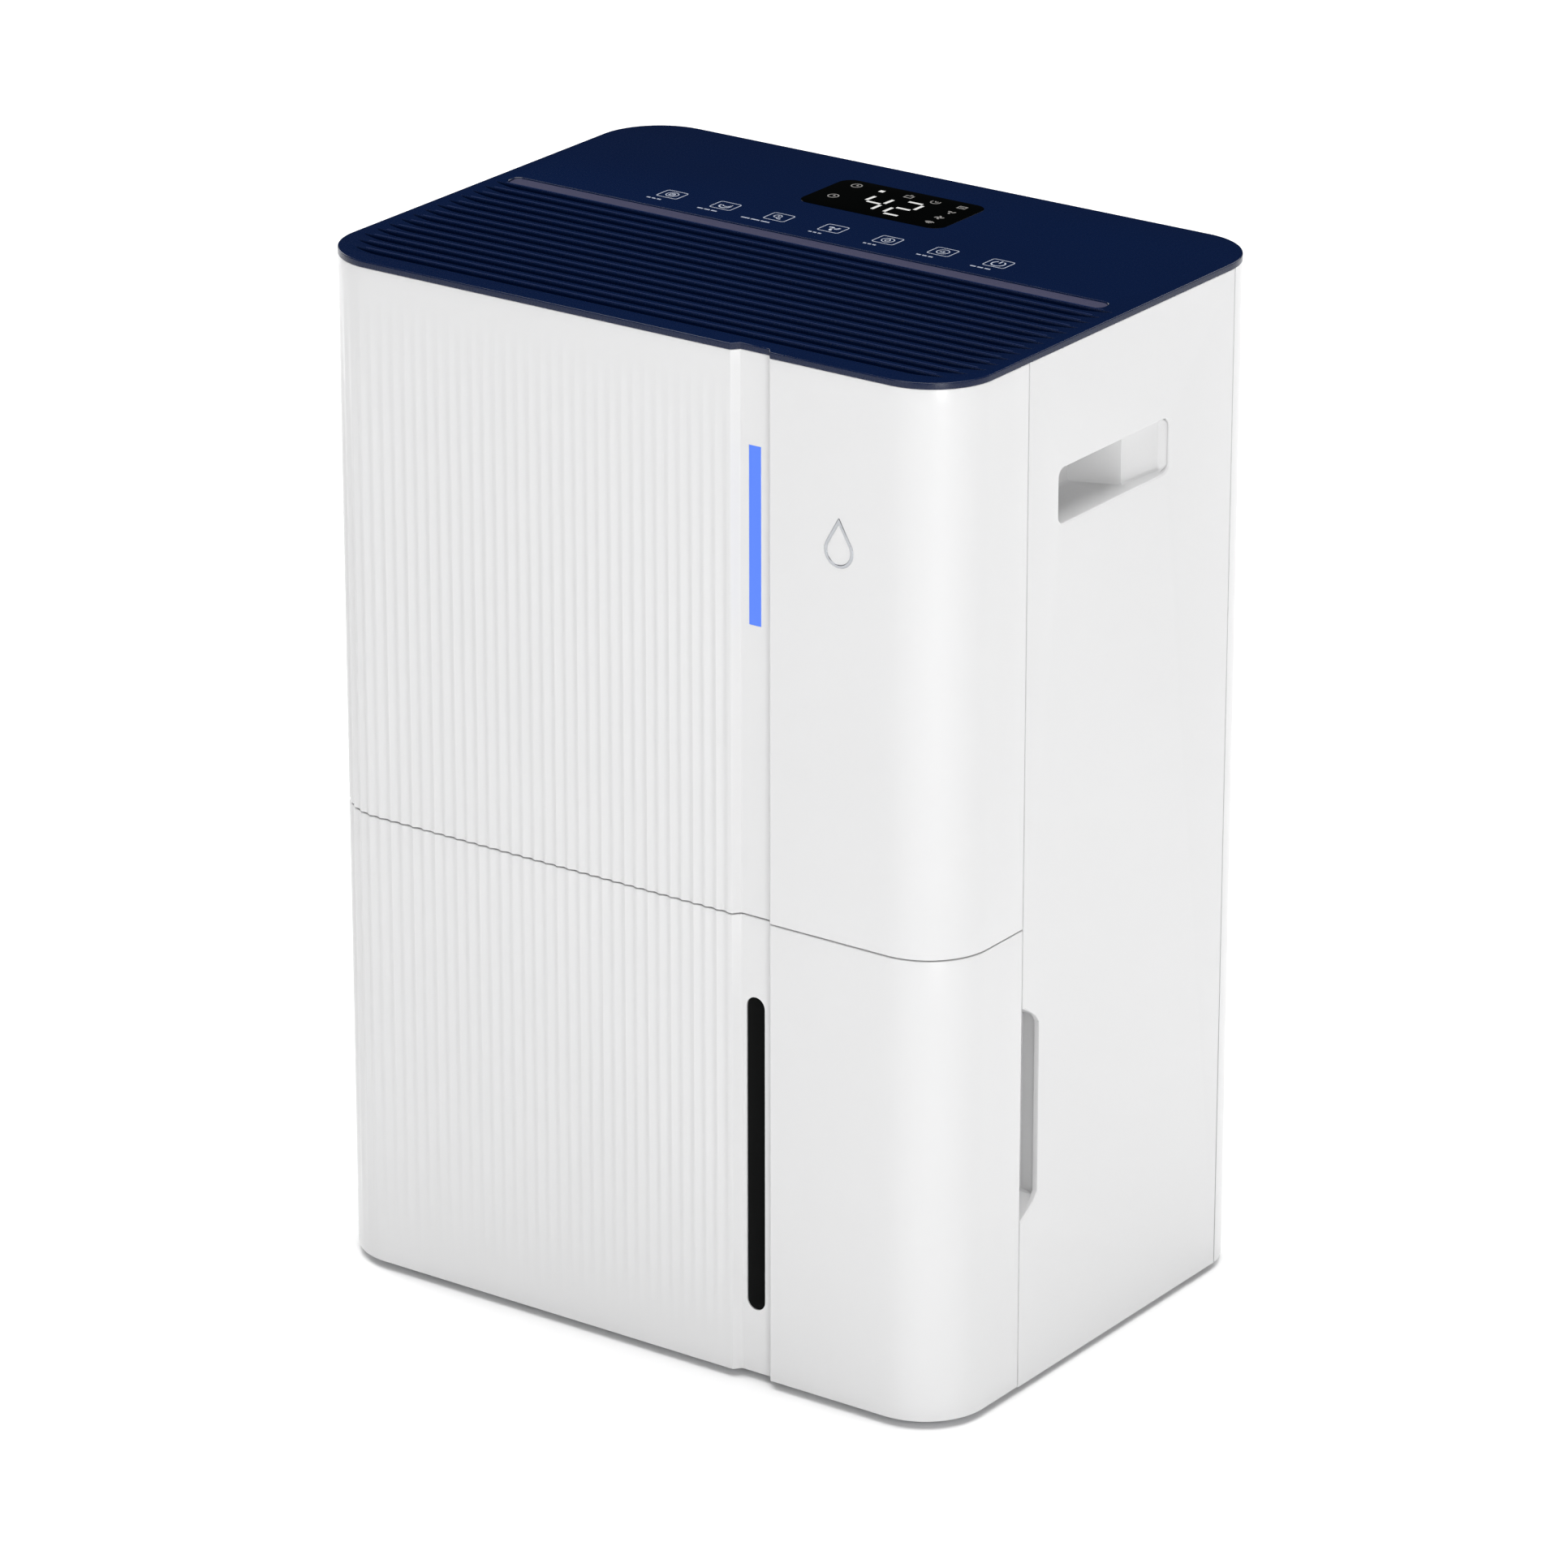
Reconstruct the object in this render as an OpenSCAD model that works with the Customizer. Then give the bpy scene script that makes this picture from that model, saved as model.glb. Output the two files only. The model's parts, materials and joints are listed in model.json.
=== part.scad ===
// Portable compressor dehumidifier with a pull-out water tank.
// X runs to the right, Y to the back and Z up. The origin is on the floor, under the
// middle of the cabinet. All lengths are in millimetres.

/* [Cabinet] */
// Overall width of the cabinet
body_w = 360; // [352:1:370]
// Overall depth of the cabinet
body_d = 262; // [260:1:270]
// Overall height, feet included
body_h = 510; // [508:1:520]
// Radius of the upright corners
corner_r = 33; // [31:1:34]
// Thickness of the outer casings
wall = 2.5; // [2.3:0.1:2.7]
// Height of the feet below the casings
foot_h = 3; // [2.8:0.1:3.2]
// Open joint between two casings
seam = 0.6; // [0.4:0.1:0.8]
// Thickness of the top panel
top_t = 3; // [2.8:0.1:3.2]

/* [Front] */
// Spacing of the upright flutes
flute_pitch = 6.6; // [6:0.1:8]
// Flat crest left between two flutes
flute_crest = 1.2; // [1:0.1:2]
// Depth of a flute
flute_depth = 0.8; // [0.6:0.1:1]
// Middle of the upright channel in the front
channel_x = 71.4; // [60:0.1:80]
// Width of the channel at its mouth
channel_w = 21.6; // [20:0.1:24]
// Depth of the channel
channel_depth = 3.7; // [3:0.1:4]
// Width of the status light strip
light_w = 6.5; // [5:0.1:8]
// Length of the status light strip
light_len = 85.7; // [60:0.1:90]
// Width of the water level window
window_w = 10.1; // [8:0.1:11]
// Length of the water level window
window_len = 158.5; // [120:0.1:165]

/* [Top] */
// Spacing of the slots in the outlet grille
slot_pitch = 9.2; // [9:0.1:9.3]
// Width of a slot
slot_w = 5.6; // [4:0.1:6]
// Number of slots
slot_count = 14; // [8:1:14]
// Spacing of the touch keys
key_pitch = 31.1; // [25:0.1:32]
// Outer size of a touch key symbol
key_size = 13; // [10:0.5:15]

/* [Sides] */
// Length of the carrying recess
grip_len = 91; // [80:1:92]
// Height of the carrying recess
grip_h = 26.5; // [22:0.5:28]
// Depth of the carrying recess
grip_depth = 30; // [22:1:31]
// Depth of the finger scoop beside the tank
scoop_depth = 12; // [8:0.5:12]

/* [Tank] */
// Height of the joint between the tank and the upper front
tank_line_z = 234.5; // [230:0.5:236]
// Half width of the bucket
bucket_x = 163; // [150:1:163]
// Height of the bucket rim
bucket_top_z = 178; // [160:1:178]

/* [Machinery] */
// Outer radius of the blower wheel
wheel_r = 86; // [80:1:87]
// Number of blades on the blower wheel
blade_count = 36; // [24:1:40]
// Number of straight tubes in each coil
tube_count = 8; // [4:2:8]
// Number of fins on each coil
fin_count = 40; // [20:1:44]
// Radius of the compressor shell
compressor_r = 56; // [50:1:56]

/* [Hidden] */

$fn = 48;
eps = 0.01;         // overlap that keeps two cuts from sharing a face
gap = 0.3;          // clearance between pieces that slide past each other
running = 0.05;     // radial clearance of a turning or sliding pin
white = "#ececee";
navy = "#06173a";
dark = "#17181a";
steel = "#a9adb1";
copper = "#b8734a";
grey = "#8d9196";
board_green = "#1f5a38";

half_w = body_w / 2;
front_y = -body_d / 2;
rear_y = body_d / 2;
panel_top_z = body_h - top_t;
inner_x = half_w - wall;
side_seam_y = -69;
rear_seam_y = 101.5;

// Carrying recess and finger scoop
grip_y0 = -44;
grip_y1 = grip_y0 + grip_len;
grip_z0 = 423.2;
grip_wall = 2;
grip_step_y = 8;            // where the deep part of the recess ends
grip_step_run = 9.5;        // how far back the slanted step runs
grip_ledge_depth = 7;       // depth of the shallow part behind the step
grip_ledge_taper = 3;       // how much shallower the ledge gets at its rear end
scoop_z0 = 87.7;
scoop_z1 = 195.4;
scoop_y1 = -55;
scoop_end = 8.5;            // length of the sloping ends
scoop_wall = 2;

// Front channel
channel_lip = 3;            // how far each side wall of the channel slants
channel_x0 = channel_x - channel_w / 2;
channel_x1 = channel_x + channel_w / 2;
channel_floor_y = front_y + channel_depth;
channel_back_y = channel_floor_y + wall;
backing_margin = 2.5;
light_z0 = 377;
light_back_y = -118;
window_z0 = 36;
window_y = channel_floor_y + 0.4;
window_back_y = -124.6;
emblem_pos = [120, 423.7];
emblem_r = 8;
emblem_tip = 16;
emblem_t = 1;

// Top panel
slot_y0 = 2.8;              // middle of the rearmost slot
slot_half = 171;
slot_corner_margin = 6;
skirt_z = 499;
skirt_t = 2;
rib_xs = [-114, -57, 0, 57, 114];
display_lo = [-43, 62];
display_hi = [41, 105];
display_t = 1.2;
key_count = 7;
key_x0 = -95;
key_y = 36.7;
icon_t = 0.3;
icon_line = 0.9;

// Tank
tank_bottom_z = foot_h + 0.5;
bucket_y0 = -124.5;
bucket_y1 = -14;
bucket_z0 = 10.5;
bucket_r = 6;
bucket_t = 2.2;
lid_t = 2.5;
lid_top_z = bucket_top_z + lid_t;
flange_x = 165;
flange_t = 3;
handle_y = -70;
handle_z = 187;
handle_x = 104;
handle_arm = 38;
handle_pin_r = 3;
handle_grip_r = 5;
inlet_pos = [60, -45];
float_x0 = 92;
float_x1 = 128;
float_y0 = -78;
float_y1 = -36;
float_z0 = 128;
float_z1 = 150;
float_axis = [-28, 165];
float_pin_r = 2;
magnet_r = 4;
magnet_len = 6;

// Inner frame
base_top_z = 10;
partition_y0 = -10;
partition_y1 = -7.5;
deck_z = 238;
deck_top_z = 241;
post_xs = [-130, 130];
post_y0 = 106;
post_y1 = 117.5;
post_half = 7;
screw_zs = [18, 244.9, 493.5];
screw_r = 2;
tray_x = 147;
tray_y0 = 46;
tray_y1 = 105;
tray_top_z = 255;
trough_half = 10;
trough_top_z = 249;
spout_z = 232;

// Refrigeration circuit
compressor_pos = [-55, 62];
compressor_z0 = 30;
compressor_z1 = 214;
foot_z = 22;
foot_t = 3;
bolt_ring = 70;
bolt_angles = [0, 130, 230];
accumulator_pos = [35, 62];
accumulator_r = 20;
pipe_r = 4;
thin_pipe_r = 3;
bend_r = 8;
riser_x = -168;
drier_x = -155;
coil_z0 = 270;
tube_pitch = 26;
condenser_y = 61;
evaporator_y = 89;
coil_half_y = 11;
fin_half_x = 136;
fin_t = 0.8;
coil_end_x = 144;
coil_top_z = coil_z0 + (tube_count - 1) * tube_pitch;
coil_stub_x = -150;
plate_x = 140;
plate_t = 1.5;
under_deck_z = 231;

// Blower, with its axis along Y
fan = [-38, 362];
scroll_y0 = -98;
scroll_y1 = -8;
scroll_t = 2;
scroll_r0 = wheel_r + 8;
scroll_r1 = wheel_r + 38;
scroll_start = 60;
scroll_top_z = 470;
wheel_y0 = -94;
wheel_y1 = -14;
shaft_r = 4;
inlet_r = 74;
shroud_y0 = 34;
shroud_y1 = 36;
duct_y0 = -112;
duct_y1 = 2;
duct_top_z = 498.5;

// Electrics
board_z = 488;
board_t = 1.6;
ebox_lo = [149, -52, 262];
ebox_hi = [176.5, 44, 412];
switch_pos = [60, 150];
plunger_r = 3;

// Rear
filter_half = 143;
filter_z0 = 252;
filter_z1 = 478;
filter_gap = 0.6;
filter_y0 = 113;
grille_y0 = 122;
louvre_pitch = 12;
drain_x = 120;
drain_z = 214;
drain_half = 16;
drain_z0 = 198;
drain_z1 = 231.6;
drain_floor_y = 114;
drain_wall = 2;
flap_axis = [127.5, 228];
flap_knuckle_r = 3.2;
flap_pin_r = 1.5;
gland_pos = [-120, 40];
gland_bore_r = 4;

// ---------- helpers ----------

// A box given by its lowest and highest corners
module block(lo, hi) {
    translate(lo) cube(hi - lo);
}

// Extrudes a shape drawn in X and Z from y0 back to y1
module slab_y(y0, y1) {
    translate([0, y1, 0]) rotate([90, 0, 0]) linear_extrude(y1 - y0) children();
}

// A round bar along X, Y or Z
module bar_x(x0, x1, r) {
    translate([x0, 0, 0]) rotate([0, 90, 0]) cylinder(h = x1 - x0, r = r);
}

module bar_y(y0, y1, r) {
    translate([0, y1, 0]) rotate([90, 0, 0]) cylinder(h = y1 - y0, r = r);
}

// Rounded rectangle about the origin
module rounded(w, d, r) {
    square([w - 2 * r, d], center = true);
    square([w, d - 2 * r], center = true);
    for (sx = [-1, 1], sy = [-1, 1])
        translate([sx * (w / 2 - r), sy * (d / 2 - r)]) circle(r);
}

// Upright slot with round ends
module stadium(w, h) {
    square([w, h - w], center = true);
    for (s = [-1, 1]) translate([0, s * (h - w) / 2]) circle(w / 2);
}

// Plan of the cabinet, inset evenly
module outline(inset = 0) {
    rounded(body_w - 2 * inset, body_d - 2 * inset, corner_r - inset);
}

// Part of the cabinet wall between two depths
module casing_band(y0, y1, inset = 0, t = wall) {
    intersection() {
        difference() {
            outline(inset);
            outline(inset + t);
        }
        translate([-body_w, y0]) square([2 * body_w, y1 - y0]);
    }
}

function unit(v) = v / norm(v);

// Places its children with Z along d
module along(p, d) {
    z = unit(d);
    side = abs(z[2]) > 0.9 ? [1, 0, 0] : [0, 0, 1];
    x = unit(cross(side, z));
    y = cross(z, x);
    multmatrix([
        [x[0], y[0], z[0], p[0]], [x[1], y[1], z[1], p[1]], [x[2], y[2], z[2], p[2]], [0, 0, 0, 1]
    ]) children();
}

// A quarter bend at corner b, coming along u and leaving along v
module elbow(b, u, v, r, bend) {
    p = b - u * bend;
    c = p + v * bend;
    x = -v;
    z = cross(x, u);
    multmatrix([
        [x[0], u[0], z[0], c[0]], [x[1], u[1], z[1], c[1]], [x[2], u[2], z[2], c[2]], [0, 0, 0, 1]
    ]) rotate_extrude(angle = 90) translate([bend, 0]) circle(r);
}

// A tube through right-angled corners
module bent_pipe(points, r, bend = bend_r) {
    last = len(points) - 1;
    for (i = [0 : last - 1]) {
        d = points[i + 1] - points[i];
        from = i == 0 ? 0 : bend;
        to = norm(d) - (i == last - 1 ? 0 : bend);
        along(points[i] + unit(d) * from, d) cylinder(h = to - from, r = r);
    }
    for (i = [1 : 1 : last - 1])
        elbow(points[i], unit(points[i] - points[i - 1]), unit(points[i + 1] - points[i]), r, bend);
}

// ---------- front ----------

module channel_cut() {
    reach = front_y - 1;
    polygon([
        [channel_x0, reach], [channel_x1, reach], [channel_x1, front_y],
        [channel_x1 - channel_lip, channel_floor_y], [channel_x0 + channel_lip, channel_floor_y],
        [channel_x0, front_y]
    ]);
}

module channel_backing() {
    x0 = channel_x0 - backing_margin;
    y0 = front_y + wall - eps;
    translate([x0, y0]) square([channel_w + 2 * backing_margin, channel_back_y - y0]);
}

// Scallops along the front, left of the channel, and round the left corner
module flute_cuts() {
    chord = flute_pitch - flute_crest;
    r = (chord * chord / 4 + flute_depth * flute_depth) / (2 * flute_depth);
    offset_y = r - flute_depth;
    corner_x = -half_w + corner_r;
    last_x = channel_x0 - flute_pitch;
    for (x = [corner_x : flute_pitch : last_x])
        translate([x, front_y - offset_y]) circle(r);
    step = flute_pitch / corner_r * 180 / PI;
    for (a = [step : step : 90 - step / 2])
        translate([corner_x, front_y + corner_r]) rotate(-a)
            translate([0, -corner_r - offset_y]) circle(r);
}

module front_profile() {
    difference() {
        union() {
            casing_band(front_y, side_seam_y - seam / 2);
            channel_backing();
        }
        channel_cut();
        flute_cuts();
    }
}

// Water drop, point upwards
module drop_shape(grow = 0) {
    r = emblem_r + grow;
    tip = emblem_tip + grow;
    a = asin(emblem_r / emblem_tip);
    circle(r);
    polygon([[-r * cos(a) + eps, r * sin(a)], [r * cos(a) - eps, r * sin(a)], [0, tip]]);
}

module front_shell() {
    z0 = tank_line_z + seam / 2;
    color(white) difference() {
        translate([0, 0, z0]) linear_extrude(panel_top_z - z0) front_profile();
        block([channel_x - light_w / 2 - 0.1, channel_floor_y - 1, light_z0 - 0.1],
              [channel_x + light_w / 2 + 0.1, channel_back_y + 1, light_z0 + light_len + 0.1]);
        slab_y(front_y - 1, front_y + emblem_t) translate(emblem_pos) drop_shape(0.1);
    }
}

module front_emblem() {
    color("silver") slab_y(front_y, front_y + emblem_t) translate(emblem_pos) drop_shape();
}

module light_guide() {
    x0 = channel_x - light_w / 2;
    flange = 2;
    color("#5c8cff") {
        block([x0, channel_floor_y, light_z0], [x0 + light_w, light_back_y, light_z0 + light_len]);
        block([x0 - flange, channel_back_y, light_z0 - flange],
              [x0 + light_w + flange, channel_back_y + 1.5, light_z0 + light_len + flange]);
    }
}

module light_board() {
    led_pitch = 17;
    color(board_green) block([channel_x - 9, light_back_y + 1.5, light_z0 - 5],
                             [channel_x + 9, light_back_y + 3.1, light_z0 + light_len + 5]);
    color("white") for (i = [0 : 4])
        translate([0, 0, light_z0 + 9 + i * led_pitch])
            block([channel_x - 2.5, light_back_y, -2.5], [channel_x + 2.5, light_back_y + 1.5, 2.5]);
}

// ---------- sides, rear, base and top ----------

// Plan of the carrying recess of the right side, grown by its wall for the outside
module grip_plan(grow, mouth_x) {
    deep_x = half_w - grip_depth - grow;
    ledge_x = half_w - grip_ledge_depth - grow;
    polygon([
        [mouth_x, grip_y0 - grow], [deep_x, grip_y0 - grow], [deep_x, grip_step_y + grow],
        [ledge_x, grip_step_y + grip_step_run + grow],
        [ledge_x + grip_ledge_taper, grip_y1 - 3 + grow], [mouth_x, grip_y1 + grow]
    ]);
}

// Wedge that is deepest at the seam, with sloping ends
module scoop_shape(grow, mouth_x) {
    panel_y = side_seam_y + seam / 2;
    y0 = grow > 0 ? panel_y : panel_y - 1;
    y1 = scoop_y1 + grow / 2;
    deep_x = half_w - scoop_depth - grow;
    intersection() {
        translate([0, 0, scoop_z0 - grow]) linear_extrude(scoop_z1 - scoop_z0 + 2 * grow)
            polygon([[mouth_x, y0], [deep_x, y0], [deep_x, panel_y + eps], [half_w - grow, y1], [mouth_x, y1]]);
        translate([half_w - 2 * scoop_depth, 0, 0]) rotate([90, 0, 90]) linear_extrude(3 * scoop_depth)
            polygon([
                [y0 - 1, scoop_z0 - grow], [panel_y, scoop_z0 - grow], [y1, scoop_z0 + scoop_end - grow],
                [y1 + 1, scoop_z0 + scoop_end - grow], [y1 + 1, scoop_z1 - scoop_end + grow],
                [y1, scoop_z1 - scoop_end + grow], [panel_y, scoop_z1 + grow], [y0 - 1, scoop_z1 + grow]
            ]);
    }
}

module side_panel() {
    mouth_x = half_w - wall / 2;
    tongue_len = 8;
    difference() {
        union() {
            translate([0, 0, foot_h]) linear_extrude(panel_top_z - foot_h) intersection() {
                casing_band(side_seam_y + seam / 2, rear_seam_y - seam / 2);
                translate([0, -body_d]) square([body_w, 2 * body_d]);
            }
            // Tongue behind the edge of the front shell
            block([inner_x - gap - 2, side_seam_y - tongue_len, tank_line_z + 1],
                  [inner_x - gap, side_seam_y + 4, panel_top_z - 10]);
            block([inner_x - gap - 1, side_seam_y + 1, tank_line_z + 1],
                  [inner_x + 1, side_seam_y + 4, panel_top_z - 10]);
            translate([0, 0, grip_z0 - grip_wall]) linear_extrude(grip_h + 2 * grip_wall)
                grip_plan(grip_wall, mouth_x);
            scoop_shape(scoop_wall, mouth_x);
        }
        translate([0, 0, grip_z0]) linear_extrude(grip_h) grip_plan(0, half_w + 1);
        scoop_shape(0, half_w + 1);
    }
}

module right_side_panel() {
    color(white) side_panel();
}

module left_side_panel() {
    color(white) mirror([1, 0, 0]) side_panel();
}

module rear_cover() {
    tunnel_y = 108;
    tunnel_t = 3;
    boss_y = 124;
    color(white) difference() {
        union() {
            translate([0, 0, foot_h]) linear_extrude(panel_top_z - foot_h)
                casing_band(rear_seam_y + seam / 2, rear_y);
            // Tunnel round the filter
            block([-filter_half - tunnel_t, tunnel_y, filter_z0 - tunnel_t],
                  [filter_half + tunnel_t, rear_y - wall, filter_z1 + tunnel_t]);
            // Box round the drain outlet
            block([drain_x - drain_half - drain_wall, drain_floor_y - drain_wall, drain_z0 - drain_wall],
                  [drain_x + drain_half + drain_wall, rear_y - 1, drain_z1 + drain_wall]);
            translate([gland_pos[0], 0, gland_pos[1]]) bar_y(boss_y, rear_y - 1, 18);
            for (x = post_xs, z = screw_zs)
                translate([x, 0, z]) bar_y(post_y1, rear_y - 1, 5);
        }
        block([-filter_half, tunnel_y - 1, filter_z0], [filter_half, rear_y + 1, filter_z1]);
        block([drain_x - drain_half, drain_floor_y, drain_z0],
              [drain_x + drain_half, rear_y + 1, drain_z1]);
        translate([drain_x, 0, drain_z]) bar_y(drain_floor_y - drain_wall - 1, rear_y, 6.3);
        translate([0, flap_axis[0], flap_axis[1]])
            bar_x(drain_x - drain_half - drain_wall - 1, drain_x + drain_half + drain_wall + 1,
                  flap_pin_r + running);
        translate([gland_pos[0], 0, gland_pos[1]]) {
            bar_y(rear_y - 4.5, rear_y + 1, 16);
            bar_y(boss_y - 1, rear_y, 9);
        }
        for (x = post_xs, z = screw_zs) translate([x, 0, z]) {
            bar_y(post_y1 - 1, rear_y + 1, screw_r + 0.1);
            bar_y(rear_y - 3, rear_y + 1, 4.2);
        }
    }
}

// Post that takes a pair of rear screws, with its bore
module screw_posts(z0, z1, z) {
    difference() {
        for (x = post_xs) block([x - post_half, post_y0, z0], [x + post_half, post_y1, z1]);
        for (x = post_xs) translate([x, 0, z]) bar_y(post_y0 + 1, post_y1 + 1, screw_r + 0.1);
    }
}

module case_screws() {
    head_y = rear_y - 2.5;
    color(steel) for (x = post_xs, z = screw_zs) translate([x, 0, z]) difference() {
        union() {
            bar_y(post_y0 + 2, head_y, screw_r);
            bar_y(head_y - 0.5, head_y + 2, 4);
        }
        for (a = [0, 90]) rotate([0, a, 0]) block([-2.2, head_y + 1, -0.4], [2.2, head_y + 3, 0.4]);
    }
}

module base_pan() {
    color(grey) {
        difference() {
            translate([0, 0, foot_h]) linear_extrude(base_top_z - foot_h) outline(wall + 0.6);
            foot_places() cylinder(h = 12, r = 3.1, center = true);
            // Room for the back of the front channel
            block([channel_x0 - 4, front_y, foot_h - 1],
                  [channel_x1 + 4, channel_back_y + gap, base_top_z + 1]);
        }
        screw_posts(base_top_z, screw_zs[0] + 8, screw_zs[0]);
    }
}

module foot_places() {
    for (x = [-140, 140], y = [-100, 100]) translate([x, y, 0]) children();
}

module rubber_feet() {
    color(dark) foot_places() {
        cylinder(h = foot_h, r = 10);
        cylinder(h = foot_h + 2.5, r = 3);
    }
}

function slot_reach(y) =
    y > front_y + corner_r ? slot_half
    : min(slot_half, half_w - corner_r - slot_corner_margin
        + sqrt(max(0, pow(corner_r, 2) - pow(front_y + corner_r - y + slot_w / 2, 2))));

module top_panel() {
    post_z = board_z + board_t;
    color(navy) {
        difference() {
            union() {
                translate([0, 0, panel_top_z]) linear_extrude(top_t) outline();
                translate([0, 0, skirt_z]) linear_extrude(panel_top_z - skirt_z + eps)
                    difference() {
                        outline(wall + 0.4);
                        outline(wall + 0.4 + skirt_t);
                        translate([channel_x0 - 5, front_y]) square([channel_w + 10, 12]);
                        for (s = [-1, 1]) translate([s * inner_x, side_seam_y - 2])
                            square([14, 22], center = true);
                    }
                for (x = rib_xs) block([x - 1, front_y + 8, skirt_z + 1], [x + 1, slot_y0 + 6, panel_top_z]);
            }
            translate([0, 0, panel_top_z - 1]) linear_extrude(top_t + 2) channel_cut();
            for (i = [0 : slot_count - 1]) {
                y = slot_y0 - i * slot_pitch;
                block([-slot_reach(y), y - slot_w / 2, panel_top_z],
                      [slot_reach(y), y + slot_w / 2, body_h + 1]);
            }
            block([display_lo[0], display_lo[1], body_h - display_t],
                  [display_hi[0], display_hi[1], body_h + 1]);
            key_places() icon_frame(icon_t + 1);
        }
        for (x = [-108, 108], y = [28, 100]) translate([x, y, post_z])
            cylinder(h = panel_top_z - post_z, r = 3);
        screw_posts(board_z, panel_top_z, screw_zs[2]);
    }
}

module key_places() {
    for (i = [0 : key_count - 1])
        translate([key_x0 + i * key_pitch, key_y, body_h - icon_t]) children();
}

module icon_frame(h) {
    linear_extrude(h) difference() {
        square(key_size, center = true);
        square(key_size - 2 * icon_line, center = true);
    }
}

module touch_icons() {
    color("white") key_places() icon_frame(icon_t);
}

module display_window() {
    color("black") block([display_lo[0], display_lo[1], body_h - display_t],
                         [display_hi[0], display_hi[1], body_h]);
}

// ---------- tank ----------

module tank_front_panel() {
    h = tank_line_z - seam / 2 - tank_bottom_z;
    boss_x = 130;
    color(white) {
        difference() {
            translate([0, 0, tank_bottom_z]) linear_extrude(h) front_profile();
            slab_y(channel_floor_y - 1, channel_back_y + 1)
                translate([channel_x, window_z0 + window_len / 2]) stadium(window_w, window_len);
        }
        // Upright flanges that the fingers pull on
        for (s = [-1, 1]) {
            x_in = s > 0 ? flange_x : -inner_x - 1;
            x_out = s > 0 ? inner_x + 1 : -flange_x;
            block([x_in, side_seam_y - seam / 2 - flange_t, base_top_z + gap],
                  [x_out, side_seam_y - seam / 2, tank_bottom_z + h]);
        }
        for (x = [-boss_x, -boss_x / 3, boss_x], z = [50, 140])
            translate([x, 0, z]) bar_y(front_y + wall - 0.5, bucket_y0, 6);
    }
}

module bucket_plan(inset = 0) {
    w = 2 * (bucket_x - inset);
    d = bucket_y1 - bucket_y0 - 2 * inset;
    translate([0, (bucket_y0 + bucket_y1) / 2]) rounded(w, d, bucket_r - inset);
}

module tank_bucket() {
    color("#d4d7da") difference() {
        translate([0, 0, bucket_z0]) linear_extrude(bucket_top_z - bucket_z0) bucket_plan();
        translate([0, 0, bucket_z0 + bucket_t]) linear_extrude(bucket_top_z) bucket_plan(bucket_t);
    }
}

// Upright ear with a bore along X, hanging down or standing up from z0
module ear(x, t, axis, z0, r, bore) {
    half = r + 2;
    difference() {
        union() {
            block([x, axis[0] - half, min(z0, axis[1])], [x + t, axis[0] + half, max(z0, axis[1])]);
            translate([0, axis[0], axis[1]]) bar_x(x, x + t, half);
        }
        translate([0, axis[0], axis[1]]) bar_x(x - 1, x + t + 1, bore);
    }
}

module tank_lid() {
    ring_h = 4;
    ear_t = 6;
    handle_ear_x = handle_x + 4;
    color("#c3c7cb") {
        difference() {
            union() {
                translate([0, 0, bucket_top_z]) linear_extrude(lid_t) bucket_plan();
                translate([0, 0, bucket_top_z - ring_h]) linear_extrude(ring_h + eps) difference() {
                    bucket_plan(bucket_t + gap);
                    bucket_plan(bucket_t + gap + 1.6);
                }
                translate([inlet_pos[0], inlet_pos[1], lid_top_z]) cylinder(h = 2, r = 17);
            }
            translate([inlet_pos[0], inlet_pos[1], bucket_top_z - 1]) cylinder(h = 8, r = 14);
        }
        for (x = [-handle_ear_x - ear_t, handle_ear_x])
            ear(x, ear_t, [handle_y, handle_z], lid_top_z - eps, handle_pin_r + 1, handle_pin_r + running);
        for (x = [float_x0 - 7, float_x1 + 2])
            ear(x, 5, float_axis, bucket_top_z + eps, float_pin_r + 1, float_pin_r + running);
    }
}

module water_level_window() {
    color("#0a0c0e") slab_y(window_y, window_back_y)
        translate([channel_x, window_z0 + window_len / 2]) stadium(window_w - 0.3, window_len - 0.3);
}

module tank_handle() {
    arm_t = 5;
    color(grey) {
        for (s = [-1, 1]) {
            x0 = s * handle_x - arm_t / 2;
            block([x0, handle_y - handle_arm, handle_z - 3.5], [x0 + arm_t, handle_y, handle_z + 3.5]);
            translate([0, handle_y, handle_z]) {
                bar_x(x0, x0 + arm_t, 5);
                bar_x(s > 0 ? x0 : x0 - 7, s > 0 ? x0 + arm_t + 7 : x0 + arm_t, handle_pin_r);
            }
        }
        translate([0, handle_y - handle_arm, handle_z])
            bar_x(-handle_x - arm_t / 2, handle_x + arm_t / 2, handle_grip_r);
    }
}

module tank_float() {
    arm_t = 4;
    color("#e9e4d2") {
        difference() {
            block([float_x0, float_y0, float_z0], [float_x1, float_y1, float_z1]);
            translate([(float_x0 + float_x1) / 2, 0, (float_z0 + float_z1) / 2])
                bar_y(float_y1 - magnet_len, float_y1 + 1, magnet_r + 0.02);
        }
        for (x = [float_x0 + 1, float_x1 - 1 - arm_t])
            translate([x, 0, 0]) rotate([90, 0, 90]) linear_extrude(arm_t) polygon([
                [float_y1 - 14, float_z1 - 1], [float_y1, float_z1 - 1],
                [float_axis[0] + 3, float_axis[1] - 2], [float_axis[0] - 3, float_axis[1] + 2]
            ]);
        translate([0, float_axis[0], float_axis[1]]) {
            bar_x(float_x0 + 1, float_x0 + 1 + arm_t, 4);
            bar_x(float_x1 - 1 - arm_t, float_x1 - 1, 4);
            bar_x(float_x0 - 6, float_x0 + 2, float_pin_r);
            bar_x(float_x1 - 2, float_x1 + 6, float_pin_r);
        }
    }
}

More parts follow.
